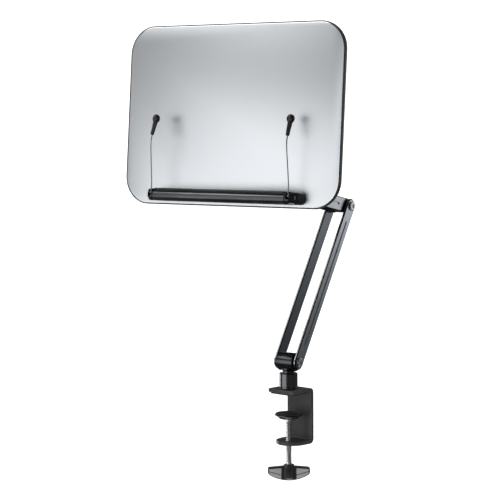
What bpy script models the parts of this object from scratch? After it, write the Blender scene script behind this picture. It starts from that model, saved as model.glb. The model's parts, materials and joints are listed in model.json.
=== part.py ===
"""Clamp-on reading stand: desk clamp, two-section friction arm, tilting panel with page holders.

Units are metres, Z is up. The origin is on the axis of the post and the clamp screw, in the plane
of the rubber face that rests on the desk top. X runs along the arm's hinge axes, -Y faces the
reader. Run it in Blender 4.5: blender --background --python part.py
"""
from math import asin, cos, degrees, pi, radians, sin

import bmesh
import bpy
from mathutils import Matrix, Vector

MM = 0.001
GAP = 0.3 * MM                    # clearance between pieces that touch on the real stand

# Pose of the stand as it is set up
CLAMP_TURN = radians(-8.9)        # the clamp's mouth against the hinge axes
KNOB_TURN = radians(34.0)         # where the wing of the knob happens to point
LOWER_LEAN = radians(34.1)        # lower arm leans back from the vertical
UPPER_RISE = radians(11.2)        # upper arm rises forwards from the horizontal
PANEL_LEAN = radians(5.04)        # panel leans back from the vertical

# Clamp
JAW_WIDTH = 45.0 * MM
JAW_THICK = 5.0 * MM
JAW_FRONT = 18.5 * MM             # screw axis to the front edge of the top jaw
WEB_INSIDE = 22.5 * MM            # screw axis to the inner face of the web
BEND_RADIUS = 5.5 * MM
LOWER_JAW_TOP = -67.0 * MM
LOWER_JAW_THICK = 4.5 * MM
LOWER_JAW_CENTRE = 7.3 * MM       # the round front of the lower jaw is centred behind the axis
JAW_PAD_THICK = 1.7 * MM
SCREW_RADIUS = 3.9 * MM
SCREW_TOP = -31.3 * MM
PAD_TOP = -27.8 * MM
PAD_RADIUS = 19.3 * MM
KNOB_TOP = -99.0 * MM
KNOB_BOTTOM = -121.4 * MM
KNOB_HALF_SPAN = 29.5 * MM

# Post, spindle and pivots
PIVOT_HEIGHT = 44.6 * MM
COLLAR_RADIUS = 12.8 * MM
COLLAR_TO_PIVOT = 15.6 * MM       # pivot axis to the end of the collar, at the base and the head
SPINDLE_RADIUS = 6.0 * MM
SPINDLE_GROOVE_RADIUS = 5.0 * MM
SPINDLE_GROOVE_HALF = 2.5 * MM
NECK_RADIUS = 8.4 * MM
BASE_BARREL_RADIUS = 12.8 * MM
HEAD_BARREL_RADIUS = 11.0 * MM
AXLE_RADIUS = 4.0 * MM
AXLE_TIP_RADIUS = 2.7 * MM
BOLT_HEAD_RADIUS = 6.6 * MM
BOLT_HEAD_THICK = 2.2 * MM
WASHER_THICK = 0.6 * MM
WASHER_RADIUS = 8.6 * MM
GRUB_RADIUS = 2.0 * MM

# Arms
ARM_LENGTH = 253.0 * MM
ARM_END_RADIUS = 10.5 * MM
PLATE_THICK = 4.0 * MM
LOWER_PLATE_OUTSIDE = 18.2 * MM   # centre plane to the outer face of a lower plate
UPPER_PLATE_OUTSIDE = 13.0 * MM
GROOVE_FROM_AXIS = 27.0 * MM
GROOVE_HALF_WIDTH = 1.25 * MM
GROOVE_DEPTH = 1.2 * MM

# Panel
PANEL_WIDTH = 340.0 * MM
PANEL_HEIGHT = 240.0 * MM
PANEL_CORNER = 38.0 * MM
PANEL_THICK = 6.5 * MM
FACE_THICK = 1.8 * MM
FACE_INSET = 1.3 * MM             # panel's outline to the face sheet, which lies in the back's rim
RIM_SETBACK = 0.4 * MM            # the rim's front edge behind the face sheet's front
BACK_THICK = 2.0 * MM
PIVOT_TO_FACE = 36.5 * MM         # head pivot to the front of the panel
MOUNT_HEIGHT = 38.0 * MM          # panel's lower edge to the spin axis
FLANGE_RADIUS = 26.0 * MM
FLANGE_THICK = 3.7 * MM
MOUNT_SCREW_CIRCLE = 19.5 * MM

# Ledge and page holders, heights from the panel's lower edge, depths from its front
LEDGE_HALF_LENGTH = 104.9 * MM
LEDGE_CAP_END = 121.0 * MM
LEDGE_BOTTOM = 4.6 * MM
LEDGE_TOP = 17.3 * MM             # top of the bar's nose
LEDGE_FLOOR = 12.6 * MM
LEDGE_DEPTH = 26.4 * MM
LEDGE_CAP_TOP = 20.5 * MM
LEDGE_CAP_CORNER = 15.0 * MM
LEDGE_CAP_ROUNDING = 6.0 * MM
MAT_HALF_LENGTH = 101.5 * MM
MAT_TOP = 21.3 * MM               # the book stands on the mat at this height
MAT_LIP_THICK = 1.9 * MM
MAT_LIP_FRONT = 25.2 * MM
HOLDER_X = 108.8 * MM
HOLDER_HEIGHT = 15.5 * MM
HOLDER_DEPTH = 21.1 * MM
HUB_RADIUS = 3.2 * MM
WIRE_RADIUS = 0.8 * MM

ROUND = 24                        # flats around a turned piece
SMALL_ROUND = 16


def clear_scene():
    """Remove every object that is in the scene."""
    for item in list(bpy.data.objects):
        bpy.data.objects.remove(item, do_unlink=True)


def new_collection(name):
    """Make a collection under the scene's own."""
    made = bpy.data.collections.new(name)
    bpy.context.scene.collection.children.link(made)
    return made


clear_scene()
PARTS = new_collection("clamp_reading_stand")
CUTTERS = new_collection("cutters")


def linear(channel):
    """Turn one sRGB channel, 0 to 1, into linear light."""
    if channel <= 0.04045:
        return channel / 12.92
    return ((channel + 0.055) / 1.055) ** 2.4


def material(name, colour, roughness, metallic):
    """A Principled material from a hex colour."""
    made = bpy.data.materials.new(name)
    made.use_nodes = True
    shader = made.node_tree.nodes["Principled BSDF"]
    channels = [int(colour[i:i + 2], 16) / 255 for i in (1, 3, 5)]
    shader.inputs["Base Color"].default_value = [linear(c) for c in channels] + [1.0]
    shader.inputs["Roughness"].default_value = roughness
    shader.inputs["Metallic"].default_value = metallic
    return made


SILVER_SHEET = material("silver_anodised_sheet", "#C4CBD0", 0.35, 1.0)
BLACK_ABS = material("black_moulded_abs", "#151516", 0.35, 0.0)
ARM_ALUMINIUM = material("grey_anodised_arm", "#8E9298", 0.30, 1.0)
BRIGHT_STEEL = material("bright_steel", "#C8CACC", 0.22, 1.0)
BLACK_POWDER = material("black_powder_coat", "#2A2A2C", 0.45, 0.0)
BLACK_ANODISED = material("black_anodised", "#1C1C1E", 0.30, 0.6)
BLACK_RUBBER = material("black_rubber", "#161616", 0.80, 0.0)
NYLON = material("black_nylon", "#1E1E1E", 0.50, 0.0)
DARK_BAR = material("dark_grey_anodised_bar", "#4A4D4F", 0.38, 0.7)


def add_frame(name, location, rotation=(0.0, 0.0, 0.0)):
    """An empty that stands on a joint's axis and carries the pieces of one body."""
    frame = bpy.data.objects.new(name, None)
    frame.empty_display_size = 0.02
    frame.location = location
    frame.rotation_euler = rotation
    PARTS.objects.link(frame)
    return frame


def give(piece, frame, finish):
    """Put a piece in the parts collection, in its body's frame, with its material."""
    if piece.name not in PARTS.objects:
        PARTS.objects.link(piece)
    piece.parent = frame
    piece.data.materials.clear()
    piece.data.materials.append(finish)
    piece.data.shade_smooth()
    piece.data.set_sharp_from_angle(angle=radians(35))
    return piece


def give_cutter(cutter, frame):
    """Put a cutter in its own collection, out of the render."""
    CUTTERS.objects.link(cutter)
    cutter.parent = frame
    cutter.hide_render = True
    cutter.display_type = "WIRE"
    return cutter


def boolean(piece, tool, operation="DIFFERENCE"):
    """Cut the piece with a closed mesh, or join the mesh to it."""
    step = piece.modifiers.new(tool.name, "BOOLEAN")
    step.object = tool
    step.operation = operation
    step.solver = "EXACT"


def chamfer(piece, width, angle=40.0, segments=1):
    """Break the piece's sharp edges."""
    step = piece.modifiers.new("broken_edges", "BEVEL")
    step.width = width
    step.segments = segments
    step.limit_method = "ANGLE"
    step.angle_limit = radians(angle)


def arc(centre, radius, start, end, steps):
    """Points on an arc, angles in degrees, both ends included."""
    angles = [radians(start + (end - start) * i / steps) for i in range(steps + 1)]
    return [(centre[0] + radius * cos(a), centre[1] + radius * sin(a)) for a in angles]


def rounded_rectangle(width, height, radius, centre=(0.0, 0.0), steps=6):
    """Outline of a rectangle with round corners, anticlockwise."""
    across = width / 2 - radius
    along = height / 2 - radius
    corners = ((across, along), (-across, along), (-across, -along), (across, -along))
    points = []
    for turn, (x, y) in enumerate(corners):
        middle = (centre[0] + x, centre[1] + y)
        points += arc(middle, radius, 90 * turn, 90 * turn + 90, steps)
    return points


def slot_outline(start, end, radius, steps=8):
    """Outline of a bar with round ends that stands along the second axis."""
    return arc((0.0, end), radius, 0, 180, steps) + arc((0.0, start), radius, 180, 360, steps)


# The outline's two axes and its thickness axis, as rows of a turn
FLAT = Matrix.Identity(4)
SIDE = Matrix(((0, 0, 1, 0), (1, 0, 0, 0), (0, 1, 0, 0), (0, 0, 0, 1)))     # outline in Y, Z
FRONT = Matrix(((1, 0, 0, 0), (0, 0, -1, 0), (0, 1, 0, 0), (0, 0, 0, 1)))   # outline in X, Z
PLAN = Matrix(((1, 0, 0, 0), (0, 0, 1, 0), (0, 1, 0, 0), (0, 0, 0, 1)))     # outline in X, Z mirrored


def outline_solid(name, points, low, high, plane=FLAT):
    """A flat outline given thickness from low to high, as one welded mesh."""
    curve = bpy.data.curves.new(name, "CURVE")
    curve.dimensions = "2D"
    curve.fill_mode = "BOTH"
    curve.extrude = (high - low) / 2
    spline = curve.splines.new("POLY")
    spline.points.add(len(points) - 1)
    for point, (x, y) in zip(spline.points, points):
        point.co = (x, y, 0.0, 1.0)
    spline.use_cyclic_u = True
    source = bpy.data.objects.new(name + "_outline", curve)
    bpy.context.scene.collection.objects.link(source)
    graph = bpy.context.evaluated_depsgraph_get()
    mesh = bpy.data.meshes.new_from_object(source.evaluated_get(graph))
    bpy.data.objects.remove(source, do_unlink=True)
    work = bmesh.new()
    work.from_mesh(mesh)
    bmesh.ops.remove_doubles(work, verts=work.verts, dist=0.005 * MM)
    bmesh.ops.transform(work, matrix=Matrix.Translation((0, 0, (low + high) / 2)), verts=work.verts)
    bmesh.ops.transform(work, matrix=plane, verts=work.verts)
    bmesh.ops.recalc_face_normals(work, faces=work.faces)
    work.to_mesh(mesh)
    work.free()
    mesh.name = name
    return bpy.data.objects.new(name, mesh)


def along(axis):
    """Turn that takes Z to the named axis."""
    turns = {"X": Matrix.Rotation(pi / 2, 4, "Y"), "Y": Matrix.Rotation(-pi / 2, 4, "X")}
    return turns.get(axis, Matrix.Identity(4))


def turned(name, profile, closed=False, axis="Z", at=(0.0, 0.0, 0.0), steps=ROUND):
    """A turned piece: the profile's radii and heights run down its outer side."""
    mesh = bpy.data.meshes.new(name)
    edges = [(i, i + 1) for i in range(len(profile) - 1)]
    if closed:
        edges.append((len(profile) - 1, 0))
    mesh.from_pydata([(r, 0.0, z) for r, z in profile], edges, [])
    piece = bpy.data.objects.new(name, mesh)
    spin = piece.modifiers.new("turning", "SCREW")
    spin.axis = "Z"
    spin.steps = steps
    spin.render_steps = steps
    spin.use_merge_vertices = True
    spin.merge_threshold = 0.005 * MM
    piece.matrix_local = Matrix.Translation(at) @ along(axis)
    return piece


def cylinder(name, radius, low, high, axis="Z", at=(0.0, 0.0, 0.0), sides=SMALL_ROUND):
    """A plain cylinder from low to high along an axis."""
    mesh = bpy.data.meshes.new(name)
    work = bmesh.new()
    shift = Matrix.Translation((0, 0, (low + high) / 2))
    bmesh.ops.create_cone(work, cap_ends=True, segments=sides, radius1=radius, radius2=radius,
                          depth=high - low, matrix=shift)
    bmesh.ops.transform(work, matrix=Matrix.Translation(at) @ along(axis), verts=work.verts)
    work.to_mesh(mesh)
    work.free()
    return bpy.data.objects.new(name, mesh)


def block(name, low, high):
    """A box between two corners."""
    mesh = bpy.data.meshes.new(name)
    size = Vector(high) - Vector(low)
    middle = (Vector(high) + Vector(low)) / 2
    work = bmesh.new()
    place = Matrix.Translation(middle) @ Matrix.Diagonal((*size, 1.0))
    bmesh.ops.create_cube(work, size=1.0, matrix=place)
    work.to_mesh(mesh)
    work.free()
    return bpy.data.objects.new(name, mesh)


def drill(piece, frame, radius, low, high, axis="Z", at=(0.0, 0.0, 0.0), sides=SMALL_ROUND):
    """Drill a hole through the piece."""
    name = f"{piece.name}_hole_{len(piece.modifiers)}"
    hole = give_cutter(cylinder(name, radius, low, high, axis, at, sides), frame)
    boolean(piece, hole)


# ---------------------------------------------------------------- frames of the moving bodies
def elbow_place():
    """Elbow axis, from the lower arm's lean."""
    return Vector((0, ARM_LENGTH * sin(LOWER_LEAN), PIVOT_HEIGHT + ARM_LENGTH * cos(LOWER_LEAN)))


def head_place():
    """Head pivot axis, from the upper arm's rise."""
    return elbow_place() + ARM_LENGTH * Vector((0, -cos(UPPER_RISE), sin(UPPER_RISE)))


def panel_place():
    """Point where the spin axis meets the panel's front."""
    return head_place() + PIVOT_TO_FACE * Vector((0, -cos(PANEL_LEAN), sin(PANEL_LEAN)))


def on_panel(x, height, depth):
    """Panel coordinates (height from its lower edge) as a place in the panel's frame."""
    return (x, height - MOUNT_HEIGHT, depth)


FACE_TURN = (pi / 2 - PANEL_LEAN, 0.0, 0.0)
clamp_frame = add_frame("clamp_frame", (0, 0, 0), (0, 0, CLAMP_TURN))
screw_frame = add_frame("screw_frame", (0, 0, 0), (0, 0, KNOB_TURN))
swivel_frame = add_frame("swivel_frame", (0, 0, PIVOT_HEIGHT))
lower_frame = add_frame("lower_arm_frame", (0, 0, PIVOT_HEIGHT), (-LOWER_LEAN, 0, 0))
upper_frame = add_frame("upper_arm_frame", elbow_place(), (pi / 2 - UPPER_RISE, 0, 0))
head_frame = add_frame("head_frame", head_place(), FACE_TURN)
panel_frame = add_frame("panel_frame", panel_place(), FACE_TURN)


# ---------------------------------------------------------------- clamp
def make_bracket():
    """C-shaped bracket bent from plate, with a round lower jaw."""
    inner = BEND_RADIUS - JAW_THICK + 1.0 * MM
    top = 2.0 * MM + JAW_THICK
    under = 2.0 * MM
    outside = WEB_INSIDE + JAW_THICK
    bottom = LOWER_JAW_TOP - LOWER_JAW_THICK
    spare = 2.0 * MM
    outline = [(-JAW_FRONT - spare, under), (-JAW_FRONT - spare, top)]
    outline += arc((outside - BEND_RADIUS, top - BEND_RADIUS), BEND_RADIUS, 90, 0, 4)
    outline += arc((outside - BEND_RADIUS, bottom + BEND_RADIUS), BEND_RADIUS, 0, -90, 4)
    outline += [(-JAW_FRONT, bottom), (-JAW_FRONT, LOWER_JAW_TOP)]
    outline += arc((WEB_INSIDE - inner, LOWER_JAW_TOP + inner), inner, -90, 0, 2)
    outline += arc((WEB_INSIDE - inner, under - inner), inner, 0, 90, 2)
    half = JAW_WIDTH / 2
    bracket = outline_solid("clamp_bracket", outline, -half, half, SIDE)
    give(bracket, clamp_frame, BLACK_POWDER)

    past = 6.0 * MM
    corner = 3.0 * MM
    side = half - corner + 0.1 * MM
    line = -JAW_FRONT + corner
    trim = [(-half - past, line), (-half - past, line - 4 * past), (half + past, line - 4 * past)]
    trim += [(half + past, line)]
    trim += arc((side, line), corner, 0, -90, 3) + arc((-side, line), corner, -90, -180, 3)
    trimmer = outline_solid("top_jaw_trimmer", trim, under - past, top + past)
    boolean(bracket, give_cutter(trimmer, clamp_frame))

    radius = half + 0.1 * MM
    trim = [(-half - past, LOWER_JAW_CENTRE), (-half - past, -JAW_WIDTH), (half + past, -JAW_WIDTH)]
    trim += [(half + past, LOWER_JAW_CENTRE)]
    trim += arc((0.0, LOWER_JAW_CENTRE), radius, 0, -180, 16)
    trimmer = outline_solid("lower_jaw_trimmer", trim, bottom - past, LOWER_JAW_TOP + past)
    boolean(bracket, give_cutter(trimmer, clamp_frame))

    sink = [(0.0, 9.0 * MM), (3.3 * MM, 9.0 * MM), (3.3 * MM, 5.0 * MM), (6.6 * MM, 1.7 * MM),
            (6.6 * MM, 0.0), (0.0, 0.0)]
    boolean(bracket, give_cutter(turned("countersink", sink), clamp_frame))
    drill(bracket, clamp_frame, SCREW_RADIUS + 0.35 * MM, bottom - past, LOWER_JAW_TOP + past,
          sides=ROUND)
    chamfer(bracket, 0.6 * MM)


def make_jaw_pad():
    """Rubber sheet under the top jaw; its lower face is the origin's plane."""
    front = -JAW_FRONT + 2.0 * MM
    back = WEB_INSIDE - 3.0 * MM
    outline = rounded_rectangle(JAW_WIDTH - 5.0 * MM, back - front, 3.0 * MM,
                                (0.0, (front + back) / 2), 4)
    give(outline_solid("top_jaw_pad", outline, 0.0, JAW_PAD_THICK), clamp_frame, BLACK_RUBBER)


def collar_profile(radius, end, seat, floor, hole, edge=1.0 * MM):
    """Closed profile of a collar with a spindle bore, standing on its seat."""
    bore = SPINDLE_RADIUS + GAP
    return [(bore, end), (radius - edge, end), (radius, end - edge), (radius, seat + edge / 2),
            (radius - edge / 2, seat), (hole, seat), (hole, floor), (bore, floor)]


def grub_screw(name, frame, height, outer, way):
    """Set screw that runs in the spindle's groove; way is +1 or -1 along Y."""
    inner = SPINDLE_GROOVE_RADIUS + 0.4 * MM
    low, high = sorted((way * inner, way * (outer - 0.4 * MM)))
    grub = cylinder(name, GRUB_RADIUS, low, high, "Y", (0, 0, height))
    give(grub, frame, BRIGHT_STEEL)
    low, high = sorted((way * (outer - 2.6 * MM), way * (outer + 2.0 * MM)))
    drill(grub, frame, 1.15 * MM, low, high, "Y", (0, 0, height), 6)


def make_post():
    """Collar that holds the arm's spindle, its bolt and its set screw."""
    end = PIVOT_HEIGHT - COLLAR_TO_PIVOT
    seat = 2.0 * MM + JAW_THICK + GAP
    floor = 12.0 * MM
    collar = turned("post_collar", collar_profile(COLLAR_RADIUS, end, seat, floor, 3.3 * MM), True)
    give(collar, clamp_frame, BLACK_ANODISED)
    height = end - 9.0 * MM
    low = SPINDLE_RADIUS
    drill(collar, clamp_frame, GRUB_RADIUS + GAP, low, COLLAR_RADIUS + 2 * MM, "Y", (0, 0, height))
    grub_screw("collar_grub_screw", clamp_frame, height, COLLAR_RADIUS, 1)

    head = 2.1 * MM
    bolt = [(0.0, floor - 0.6 * MM), (2.6 * MM, floor - 0.6 * MM), (3.0 * MM, floor - 1.0 * MM),
            (3.0 * MM, head + 3.0 * MM), (6.0 * MM, head), (0.0, head)]
    piece = give(turned("collar_bolt", bolt), clamp_frame, BRIGHT_STEEL)
    drill(piece, clamp_frame, 2.0 * MM, 0.0, head + 2.0 * MM, sides=6)


def make_pressure_pad():
    """Swivel pad on the end of the screw: a dished plate with a rubber face."""
    rubber_under = PAD_TOP - 1.2 * MM
    plate_top = rubber_under - GAP
    bore_top = SCREW_TOP + GAP
    dish = [(0.0, plate_top), (PAD_RADIUS - 0.5 * MM, plate_top), (PAD_RADIUS, plate_top - 0.5 * MM),
            (PAD_RADIUS, plate_top - 1.3 * MM), (PAD_RADIUS - 0.7 * MM, plate_top - 1.9 * MM),
            (15.4 * MM, plate_top - 2.1 * MM), (14.6 * MM, plate_top - 4.6 * MM),
            (12.6 * MM, plate_top - 6.2 * MM), (9.0 * MM, plate_top - 7.4 * MM),
            (SCREW_RADIUS + 0.4 * MM, plate_top - 7.4 * MM), (SCREW_RADIUS + 0.4 * MM, bore_top),
            (0.0, bore_top)]
    give(turned("pad_plate", dish), clamp_frame, BLACK_ANODISED)
    face = [(0.0, PAD_TOP), (PAD_RADIUS - 1.2 * MM, PAD_TOP), (PAD_RADIUS - 0.8 * MM, PAD_TOP - 0.4 * MM),
            (PAD_RADIUS - 0.8 * MM, rubber_under), (0.0, rubber_under)]
    give(turned("pad_rubber", face), clamp_frame, BLACK_RUBBER)


def make_clamp_screw():
    """Clamp screw, its wing knob and the pin that joins them."""
    foot = KNOB_BOTTOM + 3.4 * MM
    rod = [(0.0, SCREW_TOP), (SCREW_RADIUS - 0.7 * MM, SCREW_TOP), (SCREW_RADIUS, SCREW_TOP - 0.7 * MM),
           (SCREW_RADIUS, foot + 0.6 * MM), (SCREW_RADIUS - 0.6 * MM, foot), (0.0, foot)]
    screw = give(turned("clamp_screw", rod), screw_frame, BRIGHT_STEEL)

    tip_low = KNOB_BOTTOM + 12.0 * MM
    tip_high = KNOB_TOP - 4.4 * MM
    rise = tip_low - KNOB_BOTTOM
    sweep = (KNOB_HALF_SPAN ** 2 + rise ** 2) / (2 * rise)
    reach = degrees(asin(KNOB_HALF_SPAN / sweep))
    outline = arc((0.0, KNOB_BOTTOM + sweep), sweep, -90 - reach, -90 + reach, 10)
    outline += [(KNOB_HALF_SPAN - 1.5 * MM, tip_high), (10.0 * MM, KNOB_TOP - 2.6 * MM)]
    outline += [(-10.0 * MM, KNOB_TOP - 2.6 * MM), (-KNOB_HALF_SPAN + 1.5 * MM, tip_high)]
    knob = outline_solid("wing_knob", outline, -5.5 * MM, 5.5 * MM, FRONT)
    give(knob, screw_frame, BLACK_ABS)
    hub = [(0.0, KNOB_TOP), (7.6 * MM, KNOB_TOP), (8.6 * MM, KNOB_TOP - 1.2 * MM),
           (9.6 * MM, KNOB_TOP - 8.0 * MM), (9.6 * MM, KNOB_BOTTOM + 3.0 * MM),
           (8.0 * MM, KNOB_BOTTOM + 1.2 * MM), (0.0, KNOB_BOTTOM + 1.2 * MM)]
    boolean(knob, give_cutter(turned("knob_hub", hub), screw_frame), "UNION")
    drill(knob, screw_frame, SCREW_RADIUS + GAP, foot - GAP, KNOB_TOP + 3 * MM, sides=ROUND)

    height = KNOB_TOP - 9.0 * MM
    reach = 9.3 * MM
    for piece in (knob, screw):
        drill(piece, screw_frame, 1.5 * MM, -12.0 * MM, 12.0 * MM, "Y", (0, 0, height), 12)
    pin = cylinder("knob_pin", 1.2 * MM, -reach, reach, "Y", (0, 0, height), 12)
    give(pin, screw_frame, BRIGHT_STEEL)


# ---------------------------------------------------------------- knuckles and pivots
def make_knuckle(name, frame, barrel_radius, half_width, way, spindle_end):
    """Barrel on a hinge axis with a neck and a grooved spindle; way is +1 up or -1 down Z."""
    edge = 0.8 * MM
    barrel = [(0.0, half_width), (barrel_radius - edge, half_width), (barrel_radius, half_width - edge),
              (barrel_radius, -half_width + edge), (barrel_radius - edge, -half_width), (0.0, -half_width)]
    knuckle = give(turned(name, barrel, axis="X", steps=ROUND), frame, BLACK_ANODISED)
    seat = COLLAR_TO_PIVOT - GAP
    groove = COLLAR_TO_PIVOT + 9.0 * MM if way < 0 else COLLAR_TO_PIVOT + 5.0 * MM
    low = groove - SPINDLE_GROOVE_HALF
    high = groove + SPINDLE_GROOVE_HALF
    root = min(NECK_RADIUS + 1.2 * MM, half_width - 0.6 * MM)
    profile = [(0.0, 5.0 * MM), (root, 5.0 * MM), (root, barrel_radius - 1.6 * MM),
               (NECK_RADIUS, seat - 0.6 * MM), (NECK_RADIUS, seat), (SPINDLE_RADIUS, seat),
               (SPINDLE_RADIUS, low), (SPINDLE_GROOVE_RADIUS, low), (SPINDLE_GROOVE_RADIUS, high),
               (SPINDLE_RADIUS, high), (SPINDLE_RADIUS, spindle_end - 0.5 * MM),
               (SPINDLE_RADIUS - 0.5 * MM, spindle_end), (0.0, spindle_end)]
    if way < 0:
        profile = [(r, -z) for r, z in profile]
    else:
        profile = profile[::-1]
    boolean(knuckle, give_cutter(turned(name + "_spindle", profile), frame), "UNION")
    drill(knuckle, frame, AXLE_RADIUS + GAP, -2 * half_width, 2 * half_width, "X")


def make_pivot(name, frame, place, outside):
    """Shoulder bolt from the right and its sleeve nut from the left, along X."""
    seat = outside + GAP
    inside = outside - PLATE_THICK
    face = seat + BOLT_HEAD_THICK
    edge = 0.6 * MM
    bolt = [(0.0, face), (BOLT_HEAD_RADIUS - edge, face), (BOLT_HEAD_RADIUS, face - edge),
            (BOLT_HEAD_RADIUS, seat), (AXLE_RADIUS, seat), (AXLE_RADIUS, -inside),
            (AXLE_TIP_RADIUS, -inside), (AXLE_TIP_RADIUS, -seat - 0.1 * MM), (0.0, -seat - 0.1 * MM)]
    piece = give(turned(name + "_pivot_bolt", bolt, axis="X", at=place, steps=16), frame, BRIGHT_STEEL)
    drill(piece, frame, 3.0 * MM, face - 1.3 * MM, face + 1.0 * MM, "X", place, 6)
    bore = AXLE_TIP_RADIUS + GAP
    start = -inside - GAP
    nut = [(bore, start), (AXLE_RADIUS, start), (AXLE_RADIUS, -seat), (BOLT_HEAD_RADIUS, -seat),
           (BOLT_HEAD_RADIUS, -face + edge), (BOLT_HEAD_RADIUS - edge, -face), (0.0, -face),
           (0.0, -seat - 0.4 * MM), (bore, -seat - 0.4 * MM)]
    piece = turned(name + "_pivot_nut", nut[-2:] + nut[:-2], axis="X", at=place, steps=16)
    give(piece, frame, BRIGHT_STEEL)
    drill(piece, frame, 3.0 * MM, -face - 1.0 * MM, -face + 1.3 * MM, "X", place, 6)


def make_washers(name, frame, place, inner_face):
    """A pair of nylon washers that start a gap outside the inner face."""
    for side, way in (("left", -1), ("right", 1)):
        near = way * (inner_face + GAP)
        far = way * (inner_face + GAP + WASHER_THICK)
        low, high = sorted((near, far))
        ring = [(AXLE_RADIUS + GAP, high), (WASHER_RADIUS, high), (WASHER_RADIUS, low),
                (AXLE_RADIUS + GAP, low)]
        washer = turned(f"{name}_washer_{side}", ring, True, "X", place, 16)
        give(washer, frame, NYLON)


def make_plates(name, frame, outside):
    """The two side plates of an arm section, each with a long groove on its outer face."""
    for side, way in (("left", -1), ("right", 1)):
        low, high = sorted((way * outside, way * (outside - PLATE_THICK)))
        outline = slot_outline(0.0, ARM_LENGTH, ARM_END_RADIUS)
        plate = outline_solid(f"{name}_plate_{side}", outline, low, high, SIDE)
        give(plate, frame, ARM_ALUMINIUM)
        for height in (0.0, ARM_LENGTH):
            drill(plate, frame, AXLE_RADIUS + GAP, low - MM, high + MM, "X", (0, 0, height))
        track = slot_outline(GROOVE_FROM_AXIS, ARM_LENGTH - GROOVE_FROM_AXIS, GROOVE_HALF_WIDTH, 4)
        low, high = sorted((way * (outside - GROOVE_DEPTH), way * (outside + MM)))
        cutter = outline_solid(f"{name}_groove_{side}", track, low, high, SIDE)
        boolean(plate, give_cutter(cutter, frame))


def make_arms():
    """Knuckle, two arm sections, elbow and head knuckle."""
    far = (0, 0, ARM_LENGTH)
    near = (0, 0, 0)
    lower_inside = LOWER_PLATE_OUTSIDE - PLATE_THICK
    upper_inside = UPPER_PLATE_OUTSIDE - PLATE_THICK
    spread = WASHER_THICK + 2 * GAP
    spindle_end = PIVOT_HEIGHT - 12.6 * MM
    make_knuckle("base_knuckle", swivel_frame, BASE_BARREL_RADIUS, lower_inside - spread, -1,
                 spindle_end)
    make_plates("lower_arm", lower_frame, LOWER_PLATE_OUTSIDE)
    make_pivot("lower", lower_frame, near, LOWER_PLATE_OUTSIDE)
    make_washers("lower", lower_frame, near, lower_inside - spread)
    make_pivot("elbow", lower_frame, far, LOWER_PLATE_OUTSIDE)
    make_washers("elbow", lower_frame, far, UPPER_PLATE_OUTSIDE)

    make_plates("upper_arm", upper_frame, UPPER_PLATE_OUTSIDE)
    half = upper_inside - GAP
    radius = 9.8 * MM
    bore = AXLE_RADIUS + GAP
    spacer = [(bore, half), (radius, half), (radius, -half), (bore, -half)]
    give(turned("elbow_spacer", spacer, True, "X"), upper_frame, BLACK_ANODISED)
    make_pivot("head", upper_frame, far, UPPER_PLATE_OUTSIDE)
    make_washers("head", upper_frame, far, upper_inside - spread)
    make_knuckle("head_knuckle", head_frame, HEAD_BARREL_RADIUS, upper_inside - spread, 1,
                 PIVOT_TO_FACE - PANEL_THICK - 1.0 * MM)


# ---------------------------------------------------------------- panel
def mount_screw_places():
    """Four screws around the mount flange."""
    angles = [radians(45 + 90 * i) for i in range(4)]
    return [(MOUNT_SCREW_CIRCLE * cos(a), MOUNT_SCREW_CIRCLE * sin(a), 0.0) for a in angles]


def ledge_screw_places():
    """Three screws along the ledge, in the panel's frame."""
    return [on_panel(x * MM, LEDGE_BOTTOM + 2.8 * MM, 0.0) for x in (-80.0, 0.0, 80.0)]


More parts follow.
